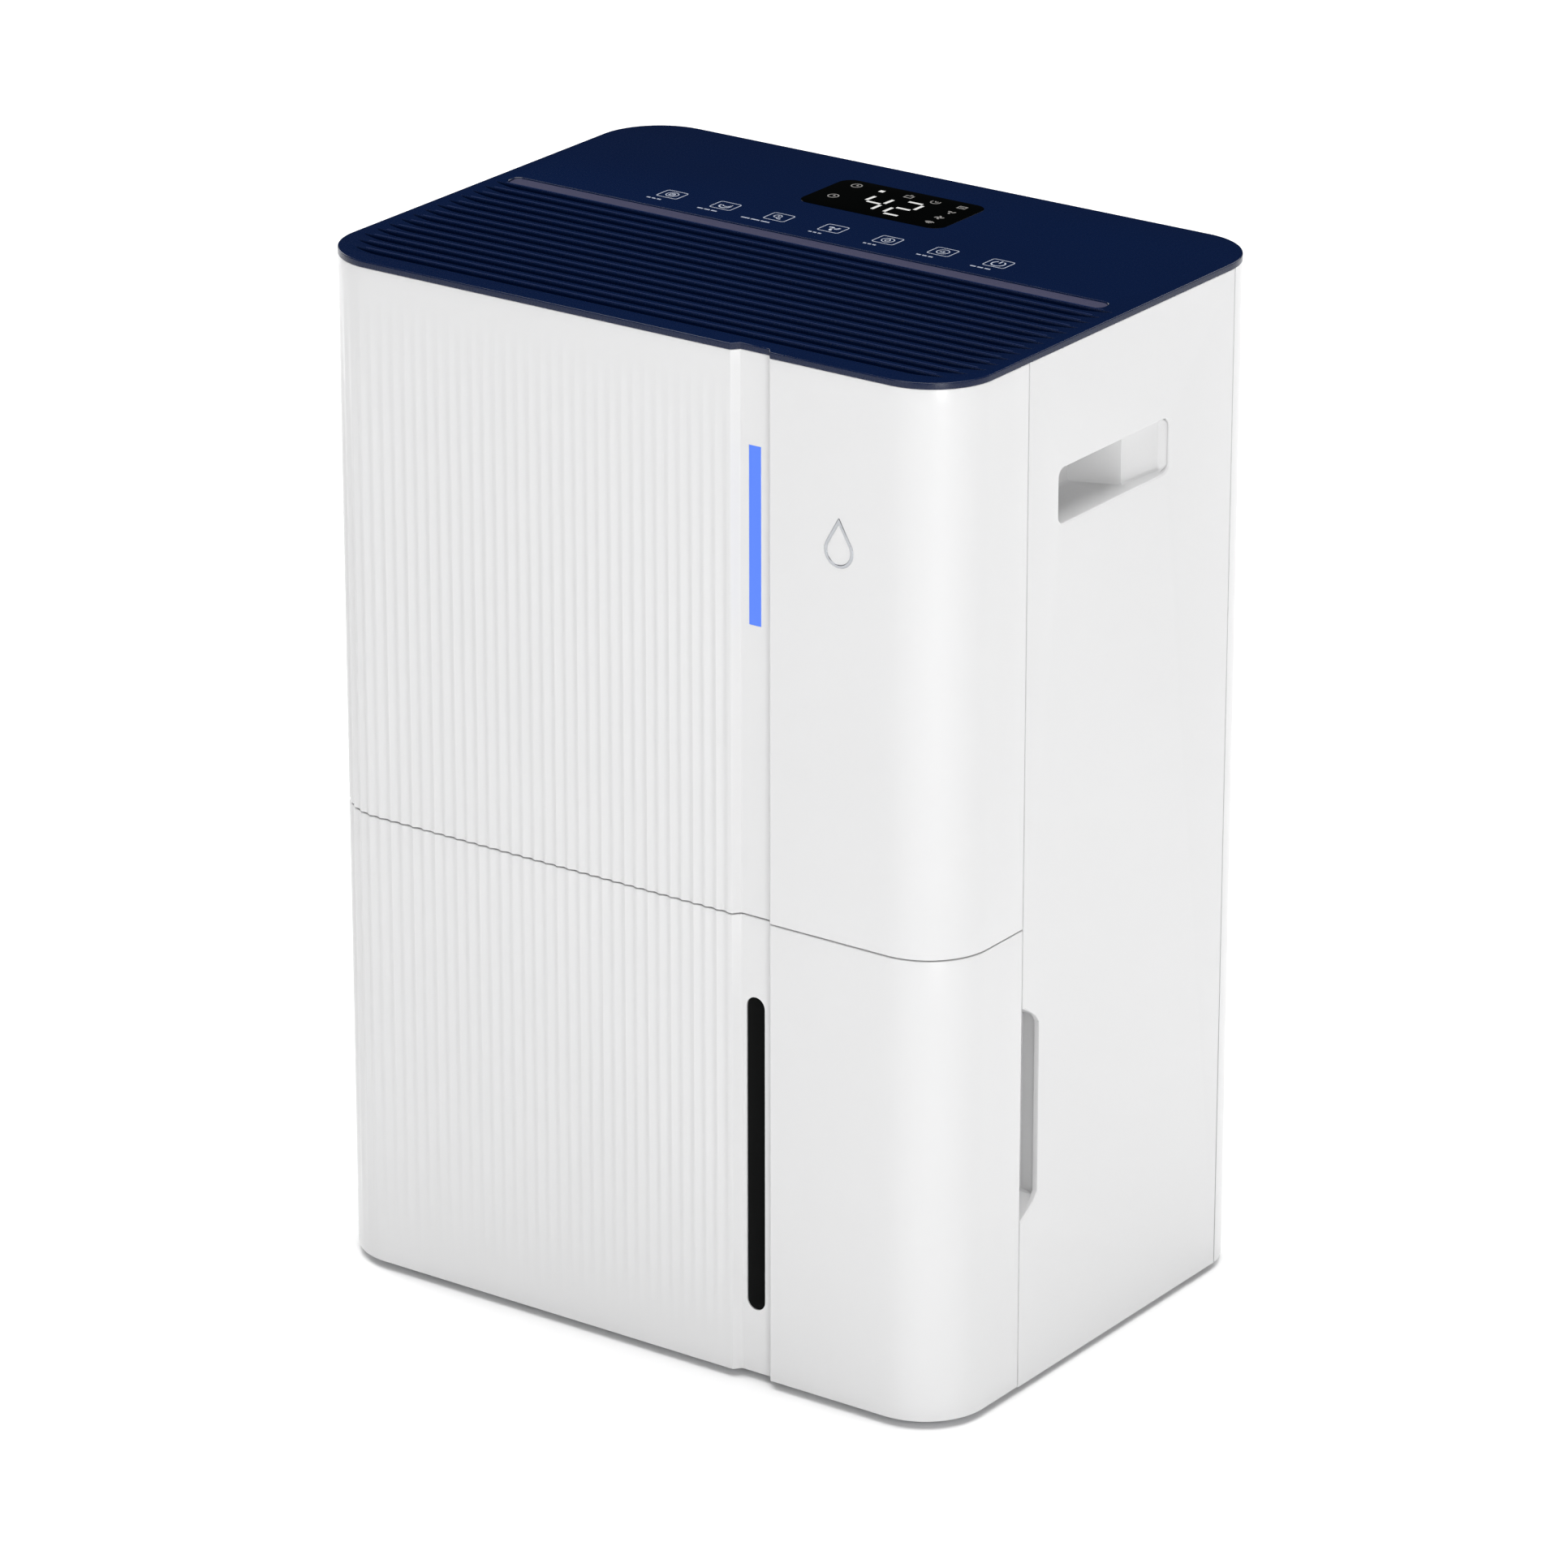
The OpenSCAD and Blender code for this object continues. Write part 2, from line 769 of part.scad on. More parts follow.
module float_magnet() {
    color(dark) translate([(float_x0 + float_x1) / 2, 0, (float_z0 + float_z1) / 2])
        bar_y(float_y1 - magnet_len, float_y1, magnet_r);
}

// ---------- inner frame ----------

module partition_wall() {
    color(grey) difference() {
        block([-inner_x + 1, partition_y0, base_top_z], [inner_x - 1, partition_y1, deck_z]);
        translate([switch_pos[0], 0, switch_pos[1]]) bar_y(partition_y0 - 1, partition_y1 + 1, plunger_r + 0.5);
        block([140, partition_y0 - 1, 219], [160, partition_y1 + 1, 232]);
    }
}

module deck_plate() {
    color(grey) {
        difference() {
            translate([0, 0, deck_z]) linear_extrude(deck_top_z - deck_z) difference() {
                outline(wall + 0.5);
                translate([channel_x0 - 4, front_y]) square([channel_w + 8, 7]);
                translate([-half_w, 30]) square([half_w - tray_x - 1, 70]);
                for (s = [-1, 1]) translate([s * inner_x, side_seam_y - 2]) square([9, 16], center = true);
                for (x = post_xs) translate([x - 6, post_y1]) square([12, 20]);
            }
            translate([inlet_pos[0], inlet_pos[1], deck_z]) cylinder(h = 10, r = 7.5, center = true);
            translate([drain_x, 80, deck_z]) cylinder(h = 10, r = 6.5, center = true);
            translate([150, 20, deck_z]) cylinder(h = 10, r = 4, center = true);
        }
        screw_posts(deck_top_z, filter_z0 - 3 - gap, screw_zs[1]);
    }
}

module drip_tray() {
    t = 2;
    floor_z = deck_top_z + t;
    x0 = inlet_pos[0] - trough_half;
    x1 = inlet_pos[0] + trough_half;
    y0 = inlet_pos[1] - trough_half;
    color("#70757a") difference() {
        union() {
            block([-tray_x, tray_y0, deck_top_z], [tray_x, tray_y1, tray_top_z]);
            block([x0, y0, deck_top_z], [x1, tray_y0 + 1, trough_top_z]);
            translate([inlet_pos[0], inlet_pos[1], spout_z]) cylinder(h = deck_top_z - spout_z + 1, r = 7);
        }
        block([-tray_x + t, tray_y0 + t, floor_z], [tray_x - t, tray_y1 - t, tray_top_z + 1]);
        block([x0 + t, y0 + t, floor_z], [x1 - t, tray_y0 + t + 1, trough_top_z + 1]);
        translate([inlet_pos[0], inlet_pos[1], spout_z - 1]) cylinder(h = 20, r = 5);
        translate([drain_x, 80, deck_top_z - 1]) cylinder(h = 4, r = 4);
    }
}

// ---------- refrigeration circuit ----------

module compressor() {
    r = compressor_r;
    dome = 22;
    shell_t = 5;
    color(dark) translate([compressor_pos[0], compressor_pos[1], 0]) {
        rotate_extrude() difference() {
            union() {
                translate([0, compressor_z0 + dome]) square([r, compressor_z1 - compressor_z0 - 2 * dome]);
                polygon([[0, compressor_z0], [r - dome, compressor_z0], [r, compressor_z0 + dome],
                         [0, compressor_z0 + dome]]);
                polygon([[0, compressor_z1], [r - dome, compressor_z1], [r, compressor_z1 - dome],
                         [0, compressor_z1 - dome]]);
            }
            translate([0, compressor_z0 + dome]) square([r - shell_t, compressor_z1 - compressor_z0 - 2 * dome]);
        }
        difference() {
            union() {
                translate([0, 0, foot_z]) cylinder(h = compressor_z0 - foot_z, r = r - dome);
                for (a = bolt_angles) rotate(a) {
                    block([0, -12, foot_z], [bolt_ring, 12, foot_z + foot_t]);
                    translate([bolt_ring, 0, foot_z]) cylinder(h = foot_t, r = 12);
                }
            }
            bolt_places() translate([0, 0, foot_z - 1]) cylinder(h = foot_t + 2, r = 5);
        }
    }
}

module bolt_places() {
    for (a = bolt_angles) rotate(a) translate([bolt_ring, 0, 0]) children();
}

module compressor_grommets() {
    color("#2a2c2e") translate([compressor_pos[0], compressor_pos[1], 0]) bolt_places() difference() {
        union() {
            translate([0, 0, base_top_z]) cylinder(h = foot_z - base_top_z, r = 9);
            translate([0, 0, base_top_z]) cylinder(h = foot_z + foot_t - base_top_z, r = 4.9);
            translate([0, 0, foot_z + foot_t]) cylinder(h = 4, r = 8);
        }
        cylinder(h = 60, r = 3.1);
    }
}

module compressor_bolts() {
    nut_z = foot_z + foot_t + 4;
    color(steel) translate([compressor_pos[0], compressor_pos[1], 0]) bolt_places() {
        translate([0, 0, base_top_z]) cylinder(h = nut_z + 9 - base_top_z, r = 3);
        translate([0, 0, nut_z]) cylinder(h = 5, r = 5.8, $fn = 6);
    }
}

module terminal_cover() {
    color(dark) difference() {
        block([compressor_pos[0] - compressor_r - 20, 47, 120],
              [compressor_pos[0] - compressor_r + 8, 77, 170]);
        translate([compressor_pos[0], compressor_pos[1], 100]) cylinder(h = 90, r = compressor_r + 0.2);
    }
}

module suction_accumulator() {
    z0 = 70;
    z1 = 172;
    tap_z = 56;
    color(dark) translate([accumulator_pos[0], accumulator_pos[1], 0]) {
        rotate_extrude() polygon([
            [0, z0], [10, z0], [accumulator_r, z0 + 14], [accumulator_r, z1 - 14], [10, z1], [0, z1]
        ]);
        translate([-accumulator_pos[0], -accumulator_pos[1], 0]) bent_pipe([
            [accumulator_pos[0], accumulator_pos[1], z0 + 1],
            [accumulator_pos[0], accumulator_pos[1], tap_z],
            [compressor_pos[0] + compressor_r + 0.1, accumulator_pos[1], tap_z]
        ], pipe_r);
    }
}

module discharge_pipe() {
    x = -75;
    y = 40;
    color(copper) bent_pipe([
        [x, y, compressor_z1], [x, y, under_deck_z], [riser_x, y, under_deck_z],
        [riser_x, condenser_y, under_deck_z], [riser_x, condenser_y, coil_top_z],
        [coil_stub_x, condenser_y, coil_top_z]
    ], pipe_r);
}

module suction_pipe() {
    run_y = 108;
    color(copper) bent_pipe([
        [coil_stub_x, evaporator_y, coil_top_z], [riser_x, evaporator_y, coil_top_z],
        [riser_x, evaporator_y, under_deck_z], [riser_x, run_y, under_deck_z],
        [accumulator_pos[0], run_y, under_deck_z],
        [accumulator_pos[0], accumulator_pos[1], under_deck_z],
        [accumulator_pos[0], accumulator_pos[1], 172]
    ], pipe_r);
}

drier_z0 = 110;
drier_z1 = 190;

module liquid_line() {
    color(copper) bent_pipe([
        [coil_stub_x, condenser_y, coil_z0], [drier_x, condenser_y, coil_z0],
        [drier_x, condenser_y, drier_z1]
    ], thin_pipe_r, 4.9);
}

module filter_drier() {
    color(copper) translate([drier_x, condenser_y, 0]) rotate_extrude() polygon([
        [0, drier_z0], [3, drier_z0], [9, drier_z0 + 12], [9, drier_z1 - 12], [3, drier_z1], [0, drier_z1]
    ]);
}

module capillary_tube() {
    r = 1.5;
    loop_r = 12;
    turns = 5;
    turn_z = 60;
    turn_pitch = 3.6;
    color(copper) {
        bent_pipe([
            [drier_x, condenser_y, drier_z0], [drier_x, condenser_y, turn_z - 8],
            [drier_x, evaporator_y, turn_z - 8], [drier_x, evaporator_y, coil_z0],
            [coil_stub_x, evaporator_y, coil_z0]
        ], r, 4.9);
        // Turns stacked beside the riser
        for (i = [0 : turns - 1])
            translate([drier_x + loop_r + 0.5, evaporator_y, turn_z + i * turn_pitch])
                rotate_extrude() translate([loop_r, 0]) circle(r - 0.1);
    }
}

// Straight tubes joined by return bends; both ends are on the left
module coil_tubes(y) {
    for (i = [0 : tube_count - 1]) {
        first_or_last = i == 0 || i == tube_count - 1;
        x0 = first_or_last ? coil_stub_x : -coil_end_x;
        translate([0, y, coil_z0 + i * tube_pitch]) bar_x(x0, coil_end_x, pipe_r);
    }
    for (i = [0 : tube_count - 2]) {
        right = i % 2 == 0;
        translate([right ? coil_end_x : -coil_end_x, y, coil_z0 + (i + 0.5) * tube_pitch])
            rotate([90, 0, 0]) rotate(right ? -90 : 90) rotate_extrude(angle = 180)
                translate([tube_pitch / 2, 0]) circle(pipe_r);
    }
}

module coil_fins(y) {
    z0 = coil_z0 - 12;
    h = coil_top_z + 12 - z0;
    step = 2 * fin_half_x / (fin_count - 1);
    for (i = [0 : fin_count - 1])
        translate([-fin_half_x + i * step - fin_t / 2, 0, 0]) rotate([90, 0, 90])
            linear_extrude(fin_t) difference() {
                translate([y - coil_half_y, z0]) square([2 * coil_half_y, h]);
                for (k = [0 : tube_count - 1]) translate([y, coil_z0 + k * tube_pitch]) circle(pipe_r + 0.1);
            }
}

module evaporator_tubes() {
    color(copper) coil_tubes(evaporator_y);
}

module evaporator_fins() {
    color(steel) coil_fins(evaporator_y);
}

module condenser_tubes() {
    color(copper) coil_tubes(condenser_y);
}

module condenser_fins() {
    color(steel) coil_fins(condenser_y);
}

module coil_end_plates() {
    y0 = condenser_y - coil_half_y - 1;
    y1 = evaporator_y + coil_half_y + 1;
    color(steel) for (s = [-1, 1])
        translate([s * plate_x - plate_t / 2, 0, 0]) rotate([90, 0, 90]) linear_extrude(plate_t)
            difference() {
                translate([y0, tray_top_z]) square([y1 - y0, coil_top_z + 16 - tray_top_z]);
                for (y = [condenser_y, evaporator_y], k = [0 : tube_count - 1])
                    translate([y, coil_z0 + k * tube_pitch]) circle(pipe_r + 0.2);
            }
}

// ---------- air path ----------

module air_shroud() {
    half = 146;
    slab_top = 484;
    color(grey) difference() {
        union() {
            block([-half, shroud_y0, deck_top_z], [half, shroud_y1, slab_top]);
            translate([fan[0], 0, fan[1]]) bar_y(scroll_y1, shroud_y0 + 1, inlet_r + 2);
        }
        translate([fan[0], 0, fan[1]]) bar_y(scroll_y1 - 1, shroud_y1 + 1, inlet_r);
        block([inlet_pos[0] - trough_half - 1, shroud_y0 - 1, deck_top_z - 1],
              [inlet_pos[0] + trough_half + 1, shroud_y1 + 1, trough_top_z + 1]);
    }
}

// Spiral casing outline, opening upwards at its end
function scroll_points(inset, top) = concat(
    [for (a = [scroll_start : 10 : 360])
        let (r = scroll_r0 + (scroll_r1 - scroll_r0) * (a - scroll_start) / (360 - scroll_start) - inset)
        [fan[0] + r * cos(a), fan[1] + r * sin(a)]],
    [[fan[0] + scroll_r1 - inset, top], [fan[0] + scroll_r0 * cos(scroll_start) + inset, top]]
);

module blower_scroll() {
    color("#55595e") difference() {
        slab_y(scroll_y0, scroll_y1) polygon(scroll_points(0, scroll_top_z));
        slab_y(scroll_y0 + scroll_t, scroll_y1 - scroll_t)
            polygon(scroll_points(scroll_t, scroll_top_z + 1));
        translate([fan[0], 0, fan[1]]) {
            bar_y(scroll_y1 - scroll_t - 1, scroll_y1 + 1, inlet_r);
            bar_y(scroll_y0 - 1, scroll_y0 + scroll_t + 1, 14);
        }
    }
}

module blower_wheel() {
    blade_len = 15;
    blade_t = 1.2;
    rim_t = 2;
    color("#3b3f44") translate([fan[0], 0, fan[1]]) {
        difference() {
            union() {
                bar_y(wheel_y0, wheel_y0 + rim_t, wheel_r);
                bar_y(wheel_y0, wheel_y0 + 30, 12);
            }
            bar_y(wheel_y0 - 1, wheel_y0 + 31, shaft_r + 0.02);
        }
        difference() {
            bar_y(wheel_y1 - rim_t, wheel_y1, wheel_r);
            bar_y(wheel_y1 - rim_t - 1, wheel_y1 + 1, wheel_r - blade_len);
        }
        for (i = [0 : blade_count - 1]) rotate([0, i * 360 / blade_count, 0])
            translate([wheel_r - blade_len / 2 - 1.5, 0, 0]) rotate([0, 25, 0])
                block([-blade_len / 2 + 1, wheel_y0 + rim_t - 0.5, -blade_t / 2],
                      [blade_len / 2 - 1, wheel_y1 - rim_t + 0.5, blade_t / 2]);
    }
}

module blower_motor() {
    color(steel) translate([fan[0], 0, fan[1]]) difference() {
        union() {
            bar_y(-124, -99.5, 42);
            bar_y(-126, -124, 20);
        }
        bar_y(-117, -99, shaft_r + running);
    }
}

module motor_shaft() {
    color("#c9ccd0") translate([fan[0], 0, fan[1]]) bar_y(-116, wheel_y0 + 32, shaft_r);
}

module motor_bracket() {
    color(steel) translate([fan[0], 0, fan[1]]) difference() {
        union() {
            bar_y(scroll_y0 - 1.5, scroll_y0 - eps, 50);
            for (a = [30, 150, 270]) rotate([0, a, 0])
                block([0, scroll_y0 - 1.5, -8], [66, scroll_y0 - eps, 8]);
        }
        bar_y(scroll_y0 - 3, scroll_y0 + 1, 9);
    }
}

module outlet_duct() {
    t = 2;
    x_out = 168;
    mouth_x0 = fan[0] + scroll_r0 * cos(scroll_start) + scroll_t;
    mouth_x1 = fan[0] + scroll_r1 - scroll_t;
    color("#55595e") difference() {
        slab_y(duct_y0, duct_y1) polygon([
            [-60, scroll_top_z], [100, scroll_top_z], [x_out, duct_top_z], [-x_out, duct_top_z]
        ]);
        slab_y(duct_y0 + t, duct_y1 - t) polygon([
            [-58, scroll_top_z + t], [98, scroll_top_z + t], [x_out - 3, duct_top_z + 1],
            [-x_out + 3, duct_top_z + 1]
        ]);
        block([mouth_x0, scroll_y0 + scroll_t, scroll_top_z - 1],
              [mouth_x1, scroll_y1 - scroll_t, scroll_top_z + t + 1]);
    }
}

// ---------- electrics ----------

module control_board() {
    color(board_green) block([-112, 24, board_z], [112, 108, board_z + board_t]);
    color("#d9c27a") for (i = [0 : key_count - 1])
        translate([key_x0 + i * key_pitch, key_y, board_z + board_t])
            cylinder(h = panel_top_z - board_z - board_t, r = 4);
}

module display_module() {
    color(dark) block([display_lo[0] + 3, display_lo[1] + 3, board_z + board_t],
                      [display_hi[0] - 3, display_hi[1] - 3, panel_top_z - 0.5]);
}

module electronics_box() {
    t = 2;
    color("#55595e") difference() {
        block(ebox_lo, ebox_hi);
        block(ebox_lo + [-1, t, t], ebox_hi - [t, t, t]);
        translate([150, 20, ebox_lo[2] - 1]) cylinder(h = 5, r = 4);
    }
}

module main_board() {
    x = ebox_hi[0] - 8;
    color(board_green) block([x, ebox_lo[1] + 6, ebox_lo[2] + 8], [x + 1.6, ebox_hi[1] - 6, ebox_hi[2] - 8]);
    color(dark) for (i = [0 : 3])
        block([x - 12, ebox_lo[1] + 12 + i * 20, 300], [x, ebox_lo[1] + 24 + i * 20, 330]);
    color("#c9b27a") block([x - 13, -30, 350], [x, 10, 385]);
}

module run_capacitor() {
    color("#dfe2e4") translate([115, -60, deck_top_z]) {
        cylinder(h = 62, r = 17);
        for (s = [-1, 1]) translate([6 * s, 0, 62]) block([-0.5, -3, -1], [0.5, 3, 8]);
    }
}

module humidity_sensor() {
    color("white") difference() {
        block([167, 80, 300], [inner_x, 96, 330]);
        for (z = [305 : 5 : 325]) block([166, 84, z], [169, 92, z + 2]);
    }
}

module tank_switch() {
    color(dark) translate([switch_pos[0], 0, switch_pos[1]]) difference() {
        block([-10, partition_y1, -10], [10, 10, 10]);
        bar_y(partition_y1 - 1, 7, plunger_r + running);
    }
}

module switch_plunger() {
    color("#d94a3a") translate([switch_pos[0], 0, switch_pos[1]])
        bar_y(bucket_y1 + gap, 4, plunger_r);
}

module wiring_harness() {
    x = compressor_pos[0] - compressor_r - 10;
    color("#303236") bent_pipe([
        [150, 20, ebox_lo[2] + 12], [150, 20, 225], [150, 2, 225], [x, 2, 225], [x, 2, 182],
        [x, compressor_pos[1], 182], [x, compressor_pos[1], 170]
    ], 3);
}

// ---------- rear ----------

module filter_grille() {
    x = filter_half - filter_gap;
    z0 = filter_z0 + filter_gap;
    z1 = filter_z1 - filter_gap;
    rim = 8;
    color(white) difference() {
        union() {
            difference() {
                block([-x, grille_y0, z0], [x, rear_y, z1]);
                block([-x + rim, grille_y0 - 1, z0 + rim], [x - rim, rear_y + 1, z1 - rim]);
            }
            for (z = [z0 + rim + 6 : louvre_pitch : z1 - rim - 4])
                block([-x + rim - 1, grille_y0 + 1, z - 1.2], [x - rim + 1, rear_y - 1, z + 1.2]);
            for (cx = [-70, 0, 70]) block([cx - 1.5, grille_y0, z0 + 2], [cx + 1.5, rear_y - 3, z1 - 2]);
        }
        // Finger notches in the upper rim
        for (cx = [-60, 60]) block([cx - 18, rear_y - 5, z1 - 6], [cx + 18, rear_y + 1, z1 + 1]);
    }
}

module filter_frame() {
    x = filter_half - 4;
    z0 = filter_z0 + 4;
    z1 = filter_z1 - 4;
    rim = 6;
    color(grey) difference() {
        union() {
            difference() {
                block([-x, filter_y0, z0], [x, grille_y0, z1]);
                block([-x + rim, filter_y0 - 1, z0 + rim], [x - rim, grille_y0 + 1, z1 - rim]);
            }
            for (cx = [-70, 0, 70]) block([cx - 2, filter_y0, z0 + 1], [cx + 2, filter_y0 + 3, z1 - 1]);
            for (z = [z0 + 70, z1 - 70]) block([-x + 1, filter_y0, z - 2], [x - 1, filter_y0 + 3, z + 2]);
        }
    }
}

module filter_mesh() {
    x = filter_half - 10;
    color("#3a3d40") block([-x, filter_y0 + 3, filter_z0 + 10], [x, filter_y0 + 3.8, filter_z1 - 10]);
}

module drain_nipple() {
    top = [drain_x, 80, deck_top_z];
    corner = [drain_x, 80, drain_z];
    end = [drain_x, 126, drain_z];
    color(grey) difference() {
        union() {
            bent_pipe([top, corner, end], 6, 10);
            translate([drain_x, 0, drain_z]) bar_y(drain_floor_y, drain_floor_y + 2, 9);
        }
        bent_pipe([top + [0, 0, 1], corner, end + [0, 1, 0]], 4, 10);
    }
}

module drain_cover() {
    x0 = drain_x - drain_half + 0.5;
    x1 = drain_x + drain_half - 0.5;
    color(white) {
        block([x0, rear_y - 3, drain_z0 + 2], [x1, rear_y - 0.3, flap_axis[1]]);
        translate([0, flap_axis[0], flap_axis[1]]) {
            bar_x(x0, x1, flap_knuckle_r);
            bar_x(x0 - 2.2, x1 + 2.2, flap_pin_r);
        }
    }
}

module cord_gland() {
    color(dark) translate([gland_pos[0], 0, gland_pos[1]]) difference() {
        union() {
            bar_y(rear_y - 4.5, rear_y - 1, 12);
            bar_y(116, rear_y - 2, 8.8);
            bar_y(119, 124, 12);
        }
        bar_y(115, rear_y + 1, gland_bore_r);
    }
}

front_shell();
right_side_panel();
left_side_panel();
rear_cover();
top_panel();
base_pan();
rubber_feet();
case_screws();
front_emblem();
light_guide();
light_board();
display_window();
touch_icons();
control_board();
display_module();
tank_front_panel();
tank_bucket();
tank_lid();
water_level_window();
tank_handle();
tank_float();
float_magnet();
partition_wall();
deck_plate();
drip_tray();
compressor();
compressor_grommets();
compressor_bolts();
terminal_cover();
suction_accumulator();
discharge_pipe();
suction_pipe();
liquid_line();
filter_drier();
capillary_tube();
evaporator_tubes();
evaporator_fins();
condenser_tubes();
condenser_fins();
coil_end_plates();
air_shroud();
blower_scroll();
blower_wheel();
blower_motor();
motor_shaft();
motor_bracket();
outlet_duct();
electronics_box();
main_board();
run_capacitor();
humidity_sensor();
tank_switch();
switch_plunger();
filter_grille();
filter_frame();
filter_mesh();
drain_nipple();
drain_cover();
cord_gland();
wiring_harness();
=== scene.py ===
"""The looks of the dehumidifier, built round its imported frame.

Sizes below are in millimetres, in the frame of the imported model. Shape.piece() turns them into
metres. The camera, the lights and what Blender is told directly are in metres.
"""

import json
import math

import bmesh
import bpy
from mathutils import Matrix, Vector
from mathutils.geometry import tessellate_polygon


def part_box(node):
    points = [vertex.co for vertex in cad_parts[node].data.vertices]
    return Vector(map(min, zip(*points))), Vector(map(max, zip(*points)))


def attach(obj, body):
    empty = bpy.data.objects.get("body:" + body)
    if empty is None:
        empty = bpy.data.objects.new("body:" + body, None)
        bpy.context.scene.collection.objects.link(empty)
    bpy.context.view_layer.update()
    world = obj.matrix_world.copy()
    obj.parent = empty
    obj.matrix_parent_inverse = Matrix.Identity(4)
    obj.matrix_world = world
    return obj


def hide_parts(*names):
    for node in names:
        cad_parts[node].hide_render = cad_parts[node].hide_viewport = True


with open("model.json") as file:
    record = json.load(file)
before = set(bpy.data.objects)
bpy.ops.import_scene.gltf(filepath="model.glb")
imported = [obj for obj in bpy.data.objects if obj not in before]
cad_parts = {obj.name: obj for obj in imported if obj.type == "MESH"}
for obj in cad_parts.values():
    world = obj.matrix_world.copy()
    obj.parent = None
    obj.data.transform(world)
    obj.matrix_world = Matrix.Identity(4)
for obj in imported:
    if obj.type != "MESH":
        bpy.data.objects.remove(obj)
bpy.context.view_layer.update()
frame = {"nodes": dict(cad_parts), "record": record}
MM = 0.001


# ---------- camera ----------

camera = bpy.data.objects.new("camera", bpy.data.cameras.new("camera"))
bpy.context.scene.collection.objects.link(camera)
camera.location = (2.0196, -2.8428, 1.6081)
camera.rotation_euler = (math.radians(68.626), 0, math.radians(35.434))
camera.data.sensor_width = 36
camera.data.lens = 180.9
camera.data.clip_end = 60
bpy.context.scene.camera = camera


# ---------- materials ----------

def principled(name, colour, roughness, metallic=0.0, specular=0.5, coat=0.0, coat_roughness=0.1):
    mat = bpy.data.materials.new(name)
    mat.use_nodes = True
    shader = mat.node_tree.nodes["Principled BSDF"]
    for socket, value in (
        ("Base Color", (*colour, 1)), ("Roughness", roughness), ("Metallic", metallic),
        ("Specular IOR Level", specular), ("Coat Weight", coat), ("Coat Roughness", coat_roughness),
    ):
        shader.inputs[socket].default_value = value
    return mat, shader


def link(mat, a, out, b, into):
    mat.node_tree.links.new(a.outputs[out], b.inputs[into])


def coordinates(mat, stretch=(1, 1, 1)):
    """Object coordinates, scaled apart along X, Y and Z."""
    tree = mat.node_tree
    where = tree.nodes.new("ShaderNodeTexCoord")
    mapping = tree.nodes.new("ShaderNodeMapping")
    mapping.inputs["Scale"].default_value = stretch
    link(mat, where, "Object", mapping, "Vector")
    return mapping


def noise(mat, place, scale, detail=3.0):
    texture = mat.node_tree.nodes.new("ShaderNodeTexNoise")
    texture.inputs["Scale"].default_value = scale
    texture.inputs["Detail"].default_value = detail
    link(mat, place, "Vector", texture, "Vector")
    return texture


def ramp(mat, source, out, low, high, start=0.3, end=0.7):
    """Colour that runs from low to high as the source goes from start to end."""
    node = mat.node_tree.nodes.new("ShaderNodeValToRGB")
    for element, place, colour in zip(node.color_ramp.elements, (start, end), (low, high)):
        element.position = place
        element.color = (*colour, 1)
    link(mat, source, out, node, "Fac")
    return node


def spread(mat, source, out, low, high):
    """Number that runs from low to high with the source."""
    node = mat.node_tree.nodes.new("ShaderNodeMapRange")
    node.inputs["From Min"].default_value = 0.3
    node.inputs["From Max"].default_value = 0.7
    node.inputs["To Min"].default_value = low
    node.inputs["To Max"].default_value = high
    link(mat, source, out, node, "Value")
    return node


def bump(mat, shader, source, out, strength, distance):
    node = mat.node_tree.nodes.new("ShaderNodeBump")
    node.inputs["Strength"].default_value = strength
    node.inputs["Distance"].default_value = distance
    link(mat, source, out, node, "Height")
    link(mat, node, "Normal", shader, "Normal")


def finish(name, colour, roughness, mottle=0.02, grain=700, relief=0.02, stretch=(1, 1, 1), **more):
    """A moulded, rolled or painted surface: faint tone, gloss and grain all vary over it."""
    mat, shader = principled(name, colour, roughness, **more)
    place = coordinates(mat, stretch)
    cloud = noise(mat, place, 9)
    tone = ramp(mat, cloud, "Fac", [c * (1 - mottle) for c in colour],
                [min(1, c * (1 + mottle)) for c in colour])
    link(mat, tone, "Color", shader, "Base Color")
    fine = noise(mat, place, grain, 2)
    gloss = spread(mat, fine, "Fac", roughness * 0.92, min(1, roughness * 1.08))
    link(mat, gloss, "Result", shader, "Roughness")
    bump(mat, shader, fine, "Fac", relief, 0.0004)
    return mat


def glowing(name, colour, strength):
    mat, shader = principled(name, (0.02, 0.02, 0.02), 0.35, specular=0.2)
    place = coordinates(mat)
    cloud = noise(mat, place, 60, 1)
    tone = ramp(mat, cloud, "Fac", [c * 0.985 for c in colour], colour)
    link(mat, tone, "Color", shader, "Emission Color")
    shader.inputs["Emission Strength"].default_value = strength
    return mat


def woven(name, colour, pitch):
    """Plain weave of fine threads along X and Z."""
    mat, shader = principled(name, colour, 0.75, specular=0.2)
    place = coordinates(mat)
    waves = []
    for direction in ("X", "Z"):
        wave = mat.node_tree.nodes.new("ShaderNodeTexWave")
        wave.bands_direction = direction
        wave.inputs["Scale"].default_value = math.pi / (10 * pitch * MM)
        link(mat, place, "Vector", wave, "Vector")
        waves.append(wave)
    both = mat.node_tree.nodes.new("ShaderNodeMath")
    both.operation = "MAXIMUM"
    for i, wave in enumerate(waves):
        mat.node_tree.links.new(wave.outputs["Fac"], both.inputs[i])
    tone = ramp(mat, both, "Value", [c * 0.35 for c in colour], colour, 0.35, 0.8)
    link(mat, tone, "Color", shader, "Base Color")
    bump(mat, shader, both, "Value", 0.6, 0.0005)
    return mat


